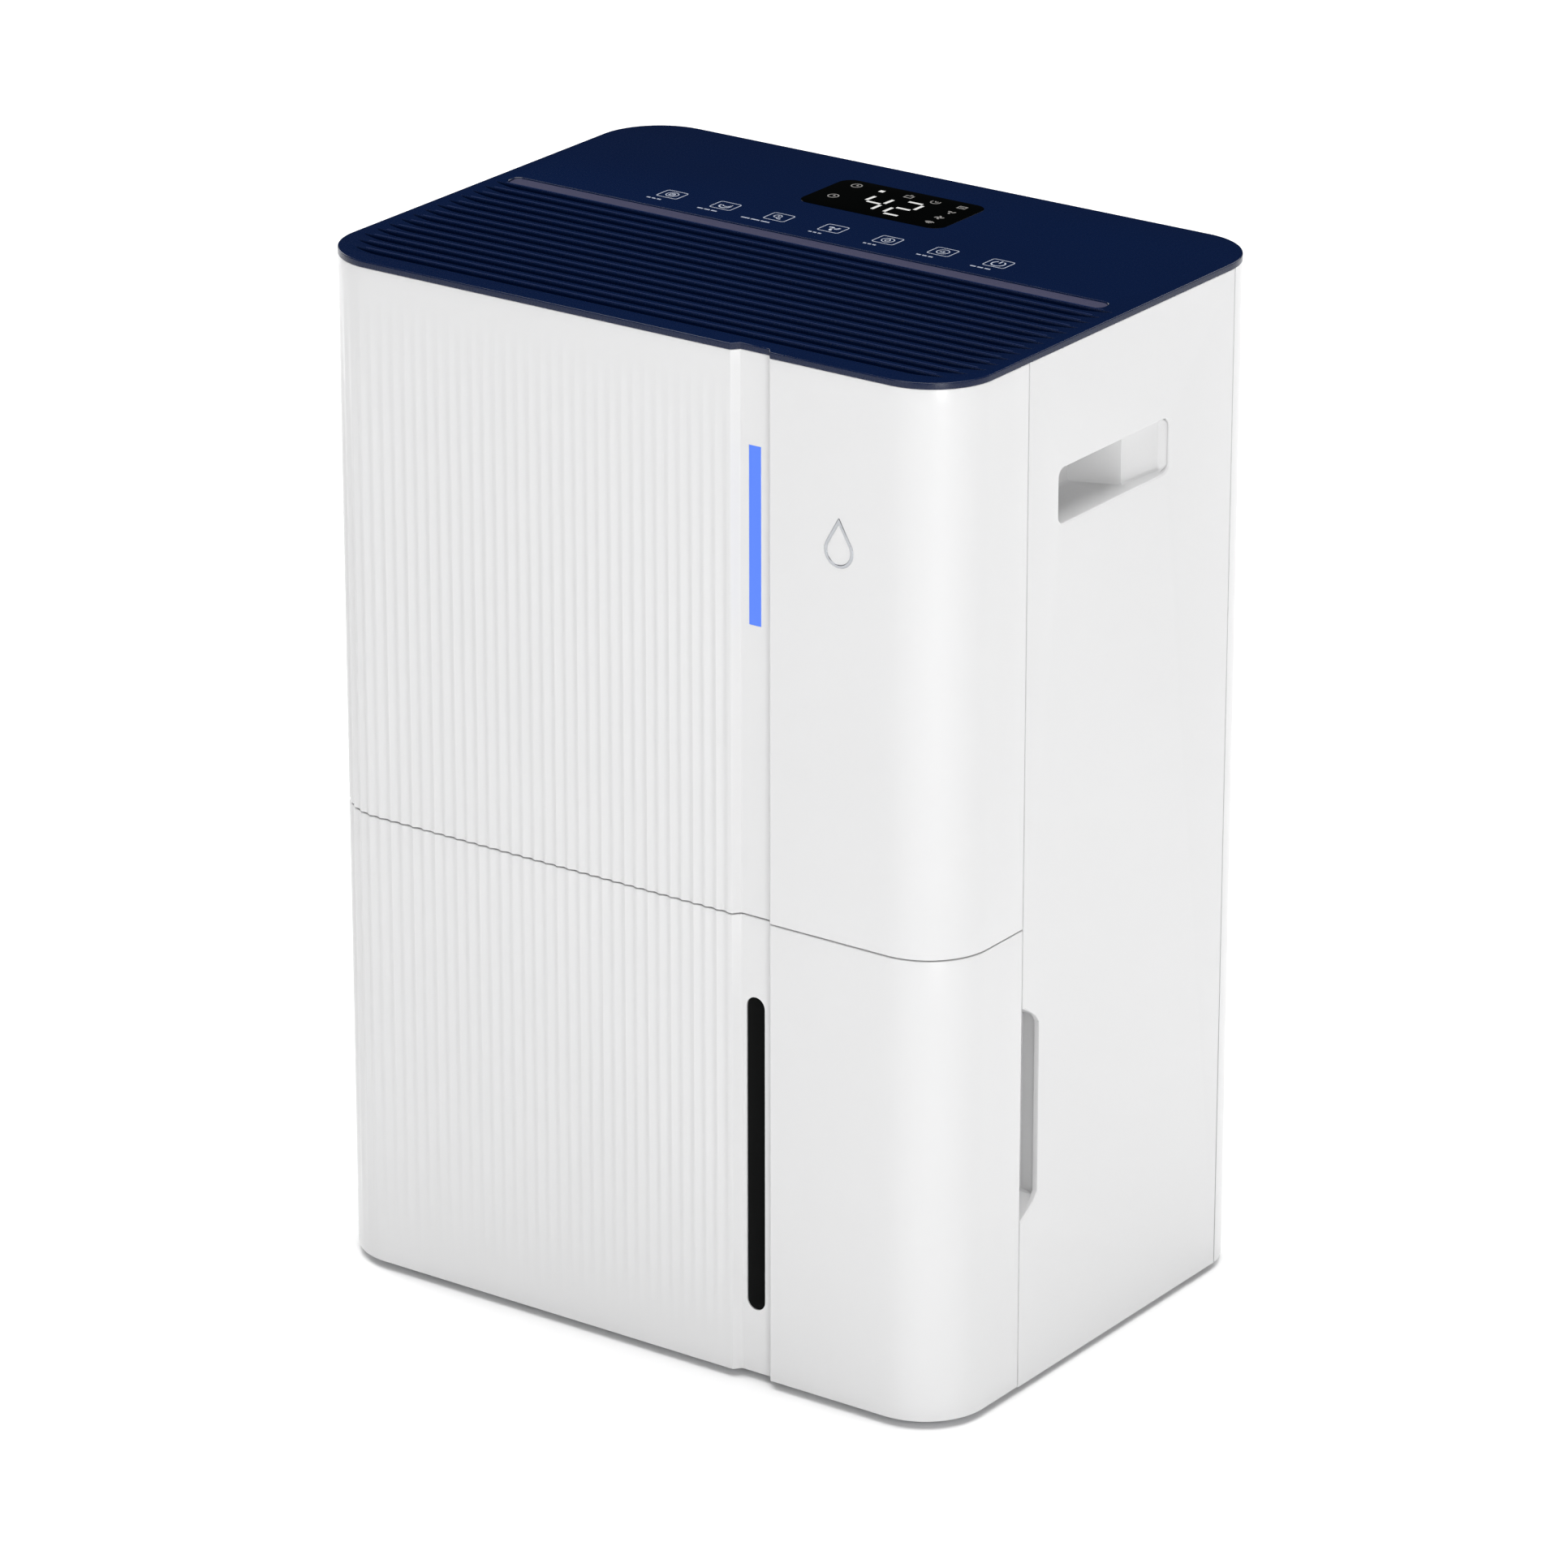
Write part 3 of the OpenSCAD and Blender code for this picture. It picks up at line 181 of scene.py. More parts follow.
def circuit(name):
    """Green board with lighter tracks."""
    mat, shader = principled(name, (0.02, 0.12, 0.05), 0.35)
    place = coordinates(mat)
    brick = mat.node_tree.nodes.new("ShaderNodeTexBrick")
    brick.inputs["Scale"].default_value = 90
    brick.inputs["Mortar Size"].default_value = 0.03
    for socket, colour in (("Color1", (0.015, 0.10, 0.04)), ("Color2", (0.02, 0.13, 0.055)),
                           ("Mortar", (0.10, 0.30, 0.12))):
        brick.inputs[socket].default_value = (*colour, 1)
    link(mat, place, "Vector", brick, "Vector")
    link(mat, brick, "Color", shader, "Base Color")
    bump(mat, shader, brick, "Fac", 0.15, 0.0002)
    return mat


WHITE = (0.62, 0.62, 0.623)
NAVY = (0.0002, 0.0060, 0.0330)
MATERIALS = {
    "white_plastic": finish("white_plastic", WHITE, 0.30, 0.006, 900, 0.012,
                            coat=0.25, coat_roughness=0.12),
    "navy_plastic": finish("navy_plastic", NAVY, 0.27, 0.05, 900, 0.012, specular=0.32),
    "grey_plastic": finish("grey_plastic", (0.36, 0.37, 0.39), 0.5, 0.03, 600, 0.08),
    "tank_plastic": finish("tank_plastic", (0.62, 0.65, 0.68), 0.34, 0.02, 500, 0.04, coat=0.3),
    "dark_plastic": finish("dark_plastic", (0.030, 0.032, 0.036), 0.5, 0.06, 500, 0.12),
    "rubber": finish("rubber", (0.022, 0.022, 0.024), 0.75, 0.08, 400, 0.2, specular=0.3),
    "steel": finish("steel", (0.56, 0.57, 0.59), 0.34, 0.04, 300, 0.06, (1, 1, 12), metallic=1.0),
    "aluminium": finish("aluminium", (0.76, 0.77, 0.78), 0.38, 0.03, 300, 0.05, (12, 1, 1),
                        metallic=1.0),
    "copper": finish("copper", (0.72, 0.36, 0.22), 0.3, 0.06, 200, 0.04, metallic=1.0),
    "black_paint": finish("black_paint", (0.014, 0.014, 0.016), 0.34, 0.05, 400, 0.10),
    "silver": finish("silver", (0.40, 0.41, 0.43), 0.24, 0.02, 260, 0.05, (10, 1, 1), metallic=1.0),
    "blue_light": glowing("blue_light", (0.085, 0.225, 0.98), 1.0),
    "dark_glass": finish("dark_glass", (0.0008, 0.001, 0.001), 0.08, 0.1, 60, 0.003, specular=0.04),
    "white_print": finish("white_print", (0.34, 0.37, 0.44), 0.6, 0.03, 900, 0.02, specular=0.2),
    "circuit_board": circuit("circuit_board"),
    "module_black": finish("module_black", (0.02, 0.02, 0.022), 0.45, 0.05, 500, 0.08),
    "foam": finish("foam", (0.55, 0.55, 0.52), 0.9, 0.06, 350, 0.5, specular=0.2),
    "magnet": finish("magnet", (0.32, 0.32, 0.34), 0.3, 0.04, 300, 0.05, metallic=1.0),
    "filter_fabric": woven("filter_fabric", (0.035, 0.037, 0.04), 1.6),
    "signal_plastic": finish("signal_plastic", (0.75, 0.10, 0.05), 0.4, 0.04, 500, 0.06),
    "sensor_plastic": finish("sensor_plastic", (0.74, 0.75, 0.76), 0.45, 0.03, 500, 0.06),
}
# Looks of small pieces that differ from the rest of their slot
LIT_DIGITS = glowing("lit_digits", (0.80, 0.80, 0.78), 1.0)
# Painted sheen: a lighter grey-blue in place of the light that the sloping cove floor reflects
COVE_SHEEN_GREY = finish("painted_cove_sheen", (0.042, 0.042, 0.080), 0.4, 0.04, 900, 0.03, specular=0.4)
# Painted highlight: a lighter blue for thin lines along the slat edges, in place of the light their
# rounded tops catch
SLAT_HIGHLIGHT_BLUE = finish("painted_slat_highlight", (0.014, 0.024, 0.072), 0.35, 0.04, 900, 0.02, specular=0.3)
DIM_SIGNS = glowing("dim_signs", (0.26, 0.25, 0.24), 1.0)

SLOT_OF = {part["node"]: part["material_slot"] for part in frame["record"]["subparts"]}
BODY_OF = {member: body for body, members in frame["record"]["behaviour"]["bodies"].items()
           for member in members}

for node, obj in frame["nodes"].items():
    for place in obj.material_slots:
        place.material = MATERIALS[SLOT_OF[node]]


# ---------- mesh helpers ----------

ROUND_STEPS = 4                             # facets across the rounded edge of a plate


def turned(a, b):
    """Unit normal to the right of the way from a to b."""
    dx, dy = b[0] - a[0], b[1] - a[1]
    size = math.hypot(dx, dy) or 1
    return dy / size, -dx / size


def grown(loop, d, closed=True):
    """An anticlockwise loop with every side moved outwards by d."""
    out = []
    for i, p in enumerate(loop):
        before = turned(loop[i - 1], p) if closed or i else None
        after = turned(p, loop[(i + 1) % len(loop)]) if closed or i < len(loop) - 1 else None
        a, b = before or after, after or before
        k = d / max(0.35, 1 + a[0] * b[0] + a[1] * b[1])
        out.append((p[0] + (a[0] + b[0]) * k, p[1] + (a[1] + b[1]) * k))
    return out


def arc(centre, r, start, end, steps):
    """Points of an arc, angles in degrees."""
    angles = [math.radians(start + (end - start) * i / steps) for i in range(steps + 1)]
    return [(centre[0] + r * math.cos(a), centre[1] + r * math.sin(a)) for a in angles]


def rounded_box(x0, y0, x1, y1, r, steps=6):
    corners = ((x1 - r, y0 + r, -90), (x1 - r, y1 - r, 0),
               (x0 + r, y1 - r, 90), (x0 + r, y0 + r, 180))
    return [p for x, y, a in corners for p in arc((x, y), r, a, a + 90, steps)]


def corner_arc(before, corner, after, r, steps):
    """The points that round one corner of a path by r."""
    u = Vector(before) - Vector(corner)
    v = Vector(after) - Vector(corner)
    u.normalize(), v.normalize()
    half = u.angle(v) / 2
    centre = Vector(corner) + (u + v).normalized() * (r / math.sin(half))
    first = Vector(corner) + u * (r / math.tan(half)) - centre
    last = Vector(corner) + v * (r / math.tan(half)) - centre
    turn = math.pi - 2 * half
    sign = 1 if first.x * last.y - first.y * last.x > 0 else -1
    points = []
    for i in range(steps + 1):
        p = first.copy()
        p.rotate(Matrix.Rotation(sign * turn * i / steps, 2))
        points.append(tuple(centre + p))
    return points


class Shape:
    """Vertices in millimetres and faces, gathered into one piece."""

    def __init__(self):
        self.verts, self.faces = [], []

    def ring(self, points):
        start = len(self.verts)
        self.verts += points
        return list(range(start, len(self.verts)))

    def bridge(self, a, b, closed=True):
        for i in range(len(a) if closed else len(a) - 1):
            j = (i + 1) % len(a)
            self.faces.append((a[i], a[j], b[j], b[i]))

    def cap(self, flat_loops, rings):
        """Fills the first loop, less the others, drawn flat by flat_loops."""
        index = [i for ring in rings for i in ring]
        loops = [[Vector((x, y, 0)) for x, y in loop] for loop in flat_loops]
        for face in tessellate_polygon(loops):
            self.faces.append(tuple(index[i] for i in face))

    def plate(self, outer, holes, depth, r, place, hole_r=None, pockets=(), behind=True):
        """A flat plate with rounded front edges, where place(x, y, drop) gives each point.

        Its back runs on behind the holes numbered in pockets, and has no face unless behind is set.
        """
        fronts, backs = [], []
        hole_r = r if hole_r is None else hole_r
        for i, loop in enumerate([outer, *holes]):
            edge, sign = (hole_r, 1) if i else (r, -1)
            rings, flat = [], None
            for k in range(ROUND_STEPS + 1):
                a = k / ROUND_STEPS * math.pi / 2
                moved = grown(loop, sign * edge * (1 - math.sin(a)))
                flat = flat or moved
                rings.append(self.ring([place(x, y, edge * (1 - math.cos(a))) for x, y in moved]))
            rings.append(self.ring([place(x, y, depth) for x, y in loop]))
            for a, b in zip(rings, rings[1:]):
                self.bridge(a, b)
            fronts.append((flat, rings[0]))
            backs.append((loop, rings[-1]))
        self.cap([f[0] for f in fronts], [f[1] for f in fronts])
        if behind:
            kept = [b for i, b in enumerate(backs) if not i or i - 1 not in pockets]
            self.cap([b[0] for b in kept], [b[1] for b in kept])
        return [b[1] for b in backs]

    def prism(self, loop, place, near, far):
        """A loop carried from near to far, closed at both ends. place(x, y, along) gives points."""
        a = self.ring([place(x, y, near) for x, y in loop])
        b = self.ring([place(x, y, far) for x, y in loop])
        self.bridge(a, b)
        self.cap([loop], [a])
        self.cap([loop], [b])

    def box(self, lo, hi):
        loop = [(lo[0], lo[1]), (hi[0], lo[1]), (hi[0], hi[1]), (lo[0], hi[1])]
        self.prism(loop, lambda x, y, z: (x, y, z), lo[2], hi[2])

    def stroke(self, points, width, z0, z1, closed=False):
        """A raised line drawn on the top panel."""
        half = width / 2
        left = grown(points, half, closed)
        right = grown(points, -half, closed)
        rings = [self.ring([(x, y, z) for x, y in side]) for side, z in
                 ((left, z0), (left, z1), (right, z1), (right, z0))]
        for a, b in zip(rings, rings[1:] + rings[:1]):
            self.bridge(a, b, closed)
        if not closed:
            for end in (0, -1):
                self.faces.append(tuple(ring[end] for ring in rings))

    def piece(self, name, body, slot, stands_for=(), angle=35, material=None, mirror=False):
        mesh = bpy.data.meshes.new(name)
        flip = -1 if mirror else 1
        points = [(flip * x * MM, y * MM, z * MM) for x, y, z in self.verts]
        mesh.from_pydata(points, [], self.faces)
        bm = bmesh.new()
        bm.from_mesh(mesh)
        bmesh.ops.recalc_face_normals(bm, faces=bm.faces)
        bm.to_mesh(mesh)
        bm.free()
        obj = bpy.data.objects.new(name, mesh)
        bpy.context.scene.collection.objects.link(obj)
        mesh.materials.append(material or MATERIALS[slot])
        return settle(obj, body, stands_for, angle)


def settle(obj, body, stands_for=(), angle=35):
    """Smooths the faces, and puts a piece on its body in place of its CAD nodes."""
    obj.data.shade_smooth()
    obj.data.set_sharp_from_angle(angle=math.radians(angle))
    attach(obj, body)
    if stands_for:
        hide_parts(*stands_for)
    return obj


def apply_modifiers(obj):
    """Makes the modifiers of an object part of its mesh."""
    graph = bpy.context.evaluated_depsgraph_get()
    mesh = bpy.data.meshes.new_from_object(obj.evaluated_get(graph))
    obj.modifiers.clear()
    obj.data = mesh


def cut(obj, cutter):
    """Takes one closed piece out of another."""
    modifier = obj.modifiers.new("cut", "BOOLEAN")
    modifier.operation = "DIFFERENCE"
    modifier.solver = "EXACT"
    modifier.object = cutter
    apply_modifiers(obj)
    bpy.data.objects.remove(cutter)


def soften(node, width, name):
    """Puts a copy with rounded edges, as moulded or pressed parts have, in place of a CAD node."""
    mesh = frame["nodes"][node].data.copy()
    bm = bmesh.new()
    bm.from_mesh(mesh)
    bmesh.ops.remove_doubles(bm, verts=bm.verts, dist=2e-6)
    bmesh.ops.dissolve_limit(bm, angle_limit=math.radians(1), verts=bm.verts, edges=bm.edges)
    bm.to_mesh(mesh)
    bm.free()
    obj = bpy.data.objects.new(name, mesh)
    bpy.context.scene.collection.objects.link(obj)
    bevel = obj.modifiers.new("edges", "BEVEL")
    bevel.width = width * MM
    bevel.segments = 3
    bevel.limit_method = "ANGLE"
    bevel.angle_limit = math.radians(40)
    obj.modifiers.new("normals", "WEIGHTED_NORMAL")
    apply_modifiers(obj)
    obj.data.materials.clear()
    obj.data.materials.append(MATERIALS[SLOT_OF[node]])
    settle(obj, BODY_OF[node], [node])


# ---------- sizes taken from the frame ----------

def box_mm(node):
    lo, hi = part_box(node)
    return [c / MM for c in lo], [c / MM for c in hi]


SHELL_LO, SHELL_HI = box_mm("front_shell")
TANK_LO, TANK_HI = box_mm("tank_front_panel")
TOP_LO, TOP_HI = box_mm("top_panel")
SIDE_LO, SIDE_HI = box_mm("right_side_panel")
HALF_W = TOP_HI[0]
FRONT_Y, REAR_Y, TOP_Z = TOP_LO[1], TOP_HI[1], TOP_HI[2]
CORNER_R = 33
WALL = 2.5
CHANNEL = (60.5, 63.5, 79.3, 82.2)          # left mouth, floor from, floor to, right mouth
CHANNEL_Y = FRONT_Y + 3.7
FLUTE_PITCH = 6.55
FLUTE_DEPTH = 1.0
FLUTE_X = 51.9                              # crest next to the channel
FLUTES_BACK = 38                            # flutes from there round the left corner
FLAT_COLUMNS = 300                          # mesh columns on the flat left of the channel
FADE_ROWS = 26                              # mesh rows where the flutes run out
EDGE_R = 0.6                                # rounded rim of a front casing
EDGE = (0, 0.08, 0.25, EDGE_R)              # where its mesh rows and columns lie


# ---------- front shell and tank front ----------

def flute_depth(along):
    """Depth of the flutes at a distance along the front, leftwards from the first crest."""
    if not -FLUTE_PITCH <= along <= FLUTES_BACK * FLUTE_PITCH:
        return 0.0
    return FLUTE_DEPTH * abs(math.sin(math.pi * along / FLUTE_PITCH)) ** 1.4


def along_front(x, y):
    """Distance along the front, leftwards from the first crest; infinite where no flutes are."""
    arc_left = -HALF_W + CORNER_R
    if x > CHANNEL[0] - 0.3 or y > FRONT_Y + CORNER_R:
        return math.inf
    if x > arc_left:
        return FLUTE_X - x
    swept = math.acos(min(1, max(-1, (FRONT_Y + CORNER_R - y) / CORNER_R)))
    return FLUTE_X - arc_left + CORNER_R * swept


def edge_drop(near):
    """How far the rounded rim falls back at a distance from the end of its casing."""
    return EDGE_R - math.sqrt(max(0, EDGE_R ** 2 - (EDGE_R - near) ** 2)) if near < EDGE_R else 0


def front_stations(y_end):
    """Outer and inner point of each mesh column, from the left seam to the right one."""
    outer = [(-HALF_W, y_end), (-HALF_W, FRONT_Y), (CHANNEL[0], FRONT_Y), (CHANNEL[1], CHANNEL_Y),
             (CHANNEL[2], CHANNEL_Y), (CHANNEL[3], FRONT_Y), (HALF_W, FRONT_Y), (HALF_W, y_end)]
    inner = grown(outer, -WALL, closed=False)
    radii = (0, CORNER_R, 0.6, 0.8, 0.8, 0.6, CORNER_R, 0)
    counts = (0, 95, 5, 4, 4, 5, 24, 0)
    columns = []

    def straight(a, b, p, q, parts):
        for f in parts:
            columns.append((a[0] + (b[0] - a[0]) * f, a[1] + (b[1] - a[1]) * f,
                            p[0] + (q[0] - p[0]) * f, p[1] + (q[1] - p[1]) * f))

    arcs = [None]
    for i in range(1, 7):
        inner_r = radii[i] - WALL if radii[i] == CORNER_R else 0.7
        arcs.append([corner_arc(path[i - 1], path[i], path[i + 1], r, counts[i])
                     for path, r in ((outer, radii[i]), (inner, inner_r))])
    side = abs(y_end - arcs[1][0][0][1])
    straight(outer[0], arcs[1][0][0], inner[0], arcs[1][1][0], [t / side for t in EDGE] + [0.5])
    for i in range(1, 7):
        columns += [(*p, *q) for p, q in zip(*arcs[i])]
        if i == 1:
            straight(arcs[1][0][-1], arcs[2][0][0], arcs[1][1][-1], arcs[2][1][0],
                     [k / FLAT_COLUMNS for k in range(1, FLAT_COLUMNS)])
    straight(arcs[6][0][-1], outer[7], arcs[6][1][-1], inner[7],
             [0.5] + [1 - t / side for t in reversed(EDGE)])
    return columns


def front_piece(name, body, stands_for, z0, z1, fade_from, fade_len, opening):
    """A front casing. Its flutes run out over fade_len, towards fade_from."""
    columns = front_stations(SHELL_HI[1])
    up = 1 if fade_from > (z0 + z1) / 2 else -1
    zs = [z0 + t for t in EDGE] + [z1 - t for t in EDGE]
    zs += [fade_from - up * fade_len * k / FADE_ROWS for k in range(FADE_ROWS + 1)]
    zs += [z0 + (z1 - z0) * f for f in (0.12, 0.3, 0.5, 0.7, 0.88)]
    zs = sorted({round(z, 3) for z in zs if z0 <= z <= z1})
    normals = []
    for i in range(len(columns)):
        normals.append(turned(columns[max(0, i - 1)], columns[min(len(columns) - 1, i + 1)]))
    shape = Shape()
    rows_out, rows_in = [], []
    for z in zs:
        t = (fade_from - z) * up / fade_len
        fade = 0 if t <= 0 else 1 if t >= 1 else 1 - (1 - t) ** 2
        rim = edge_drop(min(z - z0, z1 - z))
        out = []
        for i, (x, y, _, _) in enumerate(columns):
            side = min(i, len(columns) - 1 - i)
            seam = edge_drop(EDGE[side]) if side < len(EDGE) else 0
            d = flute_depth(along_front(x, y)) * fade + rim + seam
            nx, ny = normals[i]
            out.append((x - nx * d, y - ny * d, z))
        rows_out.append(shape.ring(out))
        rows_in.append(shape.ring([(x, y, z) for _, _, x, y in columns]))
    for rows in (rows_out, rows_in):
        for a, b in zip(rows, rows[1:]):
            shape.bridge(a, b, closed=False)
    for end in (0, -1):
        shape.bridge(rows_out[end], rows_in[end], closed=False)
        shape.bridge([row[end] for row in rows_out], [row[end] for row in rows_in], closed=False)
    obj = shape.piece(name, body, "white_plastic", stands_for)
    cutter = Shape()
    cutter.prism(opening, lambda x, z, y: (x, y, z), CHANNEL_Y - 2, CHANNEL_Y + 6)
    cut(obj, cutter.piece("opening", body, "white_plastic"))
    settle(obj, body, stands_for, 30)


def stadium(lo, hi, grow):
    """Upright slot with round ends, grow larger than a box seen from the front."""
    r = (hi[0] - lo[0]) / 2 + grow
    x = (lo[0] + hi[0]) / 2
    return arc((x, lo[2] - grow + r), r, 180, 360, 12) + arc((x, hi[2] + grow - r), r, 0, 180, 12)


GUIDE_LO, GUIDE_HI = box_mm("light_guide")
LIGHT = (GUIDE_LO[0] + 2, GUIDE_LO[2] + 2, GUIDE_HI[0] - 2, GUIDE_HI[2] - 2)
WINDOW_LO, WINDOW_HI = box_mm("water_level_window")

front_piece("front_casing", "cabinet", ["front_shell"], SHELL_LO[2], SHELL_HI[2],
            SHELL_HI[2] - 8, 150,
            [(LIGHT[0] - 0.1, LIGHT[1] - 0.1), (LIGHT[2] + 0.1, LIGHT[1] - 0.1),
             (LIGHT[2] + 0.1, LIGHT[3] + 0.1), (LIGHT[0] - 0.1, LIGHT[3] + 0.1)])
front_piece("tank_front", "tank", ["tank_front_panel"], TANK_LO[2], TANK_HI[2], TANK_LO[2] + 8, 135,
            stadium(WINDOW_LO, WINDOW_HI, 0.25))

# The flanges behind the tank front, which the fingers pull on
flanges = Shape()
for s in (-1, 1):
    x_in, x_out = sorted((s * 165, s * (HALF_W - WALL - 0.2)))
    flanges.box((x_in, TANK_HI[1] - 3.2, 12), (x_out, TANK_HI[1] - 0.1, TANK_HI[2] - 1))
flanges.piece("tank_pull_flanges", "tank", "white_plastic")


def facing(y, proud):
    """Places a plate upright, with its front a little proud of y."""
    return lambda x, z, drop: (x, y - proud + drop, z)


strip = Shape()
strip.plate([(LIGHT[0], LIGHT[1]), (LIGHT[2], LIGHT[1]),
             (LIGHT[2], LIGHT[3]), (LIGHT[0], LIGHT[3])], [], 8, 0.25, facing(CHANNEL_Y, 0.1))
strip.piece("status_light", "cabinet", "blue_light", ["light_guide"])

glass = Shape()
glass.plate(stadium(WINDOW_LO, WINDOW_HI, 0.15), [], 2, 0.7, facing(CHANNEL_Y, -0.3))
glass.piece("level_glass", "tank", "dark_glass", ["water_level_window"])

# Silver water drop, with a sunk field inside its rim
DROP_LO, DROP_HI = box_mm("front_emblem")
DROP_R = (DROP_HI[0] - DROP_LO[0]) / 2
DROP_X, DROP_Z = (DROP_LO[0] + DROP_HI[0]) / 2, DROP_LO[2] + DROP_R


def drop_loop(r, tip):
    """A water drop of radius r, with its tip so far above its centre."""
    side = math.degrees(math.asin(r / tip))
    points = arc((DROP_X, DROP_Z), r, 180 - side, 360 + side, 40)
    return points + [(DROP_X + 0.35, DROP_Z + tip - 0.5), (DROP_X, DROP_Z + tip - 0.25),
                     (DROP_X - 0.35, DROP_Z + tip - 0.5)]


emblem = Shape()
emblem.plate(drop_loop(DROP_R, 16), [drop_loop(DROP_R - 1.7, 12.6)], 1.2, 0.4,
             facing(FRONT_Y, 0.35), hole_r=0.35)
emblem.plate(drop_loop(DROP_R - 1.75, 12.5), [], 0.7, 0.1, facing(FRONT_Y, -0.15))
emblem.piece("drop_emblem", "cabinet", "silver", ["front_emblem"])


# ---------- side panels ----------

GRIP = dict(y0=-44, y1=47, z0=423.2, z1=449.7, r=4.2)
SCOOP_Z0, SCOOP_Z1, SCOOP_Y, SCOOP_X, SCOOP_END = 87.7, 195.4, -55, 168, 8.5
SCOOP_UNDERCUT = 4.5
TONGUE = 8.3                                # what of a side panel lies behind the front casing
LINING = 2                                  # wall thickness of the recess and the scoop


def grip_depth(y):
    """Depth of the carrying recess: deep in front, then a slanted step up to a ledge."""
    points = [(-60, 30), (8, 30), (17.5, 7), (44, 4.2), (47.0, 0.9), (60, 0.9)]
    for (a, depth_a), (b, depth_b) in zip(points, points[1:]):
        if y <= b:
            return depth_a + (depth_b - depth_a) * (y - a) / (b - a)
    return points[-1][1]


def grip_loop():
    """Anticlockwise, low edge first; point i and point -1-i are one above the other."""
    r, half = GRIP["r"], (GRIP["z1"] - GRIP["z0"]) / 2
    mid = (GRIP["z0"] + GRIP["z1"]) / 2
    ys = [GRIP["y0"] + r * (1 - math.cos(a)) for a in [math.pi / 16 * k for k in range(9)]]
    low = [(y, half - r + math.sqrt(max(0, r * r - (r - (y - GRIP["y0"])) ** 2))) for y in ys]
    low += [(y, half) for y in (-20, 6.5, 8, 9.5, 12.5, 16, 17.5, 19, 30)]
    low += [(GRIP["y0"] + GRIP["y1"] - y, h) for y, h in reversed(low[:9])]
    return [(y, mid - h) for y, h in low] + [(y, mid + h) for y, h in reversed(low)]


def on_side(y, z, drop):
    """A point of the right side, which turns in with the rear corner."""
    over = max(0, y - (REAR_Y - CORNER_R))
    return (HALF_W - CORNER_R + math.sqrt(CORNER_R ** 2 - over ** 2) - drop, y, z)


def recess_walls(shape, loop, ring, extra):
    """Walls and back of the carrying recess, extra millimetres behind what is seen of it."""
    rings = [ring]
    for inset, short in ((0.5, 2.6), (0.75, 1.2), (1.5, 0.3), (2.6, 0)):
        rings.append(shape.ring([
            on_side(y, z, max(grip_depth(y) + extra - short * min(1, grip_depth(y) / 8),
                              WALL * (1 if extra else 0.35) + 0.1))
            for y, z in grown(loop, -inset)]))
    for a, b in zip(rings, rings[1:]):
        shape.bridge(a, b)
    last = rings[-1]
    n = len(last)
    for i in range(n // 2 - 1):
        shape.faces.append((last[i], last[i + 1], last[n - 2 - i], last[n - 1 - i]))


def side_piece(name, node, mirror):
    """A side panel with its carrying recess, its half of the finger scoop and its tongue."""
    y0, y1, z0, z1 = SIDE_LO[1] + TONGUE, SIDE_HI[1], SIDE_LO[2], SIDE_HI[2]
    outer = [(y0, z0), (y1, z0), (y1, z1), (y0, z1), (y0, SCOOP_Z1), (y0 + 2, SCOOP_Z1 - 0.6),
             (SCOOP_Y - 2.5, SCOOP_Z1 - SCOOP_END + 1), (SCOOP_Y, SCOOP_Z1 - SCOOP_END - 2.5),
             (SCOOP_Y, SCOOP_Z0 + SCOOP_END + 2.5), (SCOOP_Y - 2.5, SCOOP_Z0 + SCOOP_END - 1),
             (y0 + 2, SCOOP_Z0 + 0.6), (y0, SCOOP_Z0)]
    shape = Shape()
    mouth = grip_loop()
    back_outer, back_mouth = shape.plate(outer, [mouth], WALL, 0.5, on_side, hole_r=0.9,
                                         behind=False)
    recess_walls(shape, mouth, back_mouth, 0)
    behind_mouth = grown(mouth, LINING)
    behind_ring = shape.ring([on_side(y, z, WALL) for y, z in behind_mouth])
    recess_walls(shape, behind_mouth, behind_ring, LINING)
    shape.cap([outer, behind_mouth], [back_outer, behind_ring])
    # Lining of the finger scoop: an undercut wall, a floor and two end walls
    deep_y = SCOOP_Y + SCOOP_UNDERCUT
    face = [(SCOOP_Y + 2.2, HALF_W - 1), (SCOOP_Y, HALF_W - 0.05), (deep_y, SCOOP_X), (y0, SCOOP_X),
            (y0, SCOOP_X - LINING), (deep_y + 2.2, SCOOP_X - LINING)]
    shape.prism(face, lambda y, x, z: (x, y, z), SCOOP_Z0 - LINING, SCOOP_Z1 + LINING)
    for z_seam, z_in, out in ((SCOOP_Z0, SCOOP_Z0 + SCOOP_END, -LINING),
                              (SCOOP_Z1, SCOOP_Z1 - SCOOP_END, LINING)):
        wall = [(y0, z_seam), (SCOOP_Y, z_in), (deep_y + 1, z_in), (deep_y + 1, z_in + out),
                (SCOOP_Y, z_in + out), (y0, z_seam + out)]
        shape.prism(wall, lambda y, z, x: (x, y, z), SCOOP_X - LINING, HALF_W - 0.6)
    # Tongue behind the edge of the front casing
    shape.box((HALF_W - WALL - 2.3, SIDE_LO[1], TANK_HI[2] + 2),
              (HALF_W - WALL - 0.3, y0 + 4, SIDE_HI[2] - 10))
    shape.piece(name, "cabinet", "white_plastic", [node], 30, mirror=mirror)


side_piece("right_side_casing", "right_side_panel", False)
side_piece("left_side_casing", "left_side_panel", True)


# ---------- top panel ----------

SLOTS = 14
SLOT_PITCH = 9.2
SLOT_Y = 2.8                                # middle of the rearmost slot
SLOT_HALF = 2.1                             # half of a slot's width
SLOT_REACH = 174.5                          # half of its length
NEAR_CORNER = {12: 170.5, 13: 165}          # the shorter slots between the front corners
COVE = (-171, 7.4, 167, 16.4)               # long sloping recess behind the grille


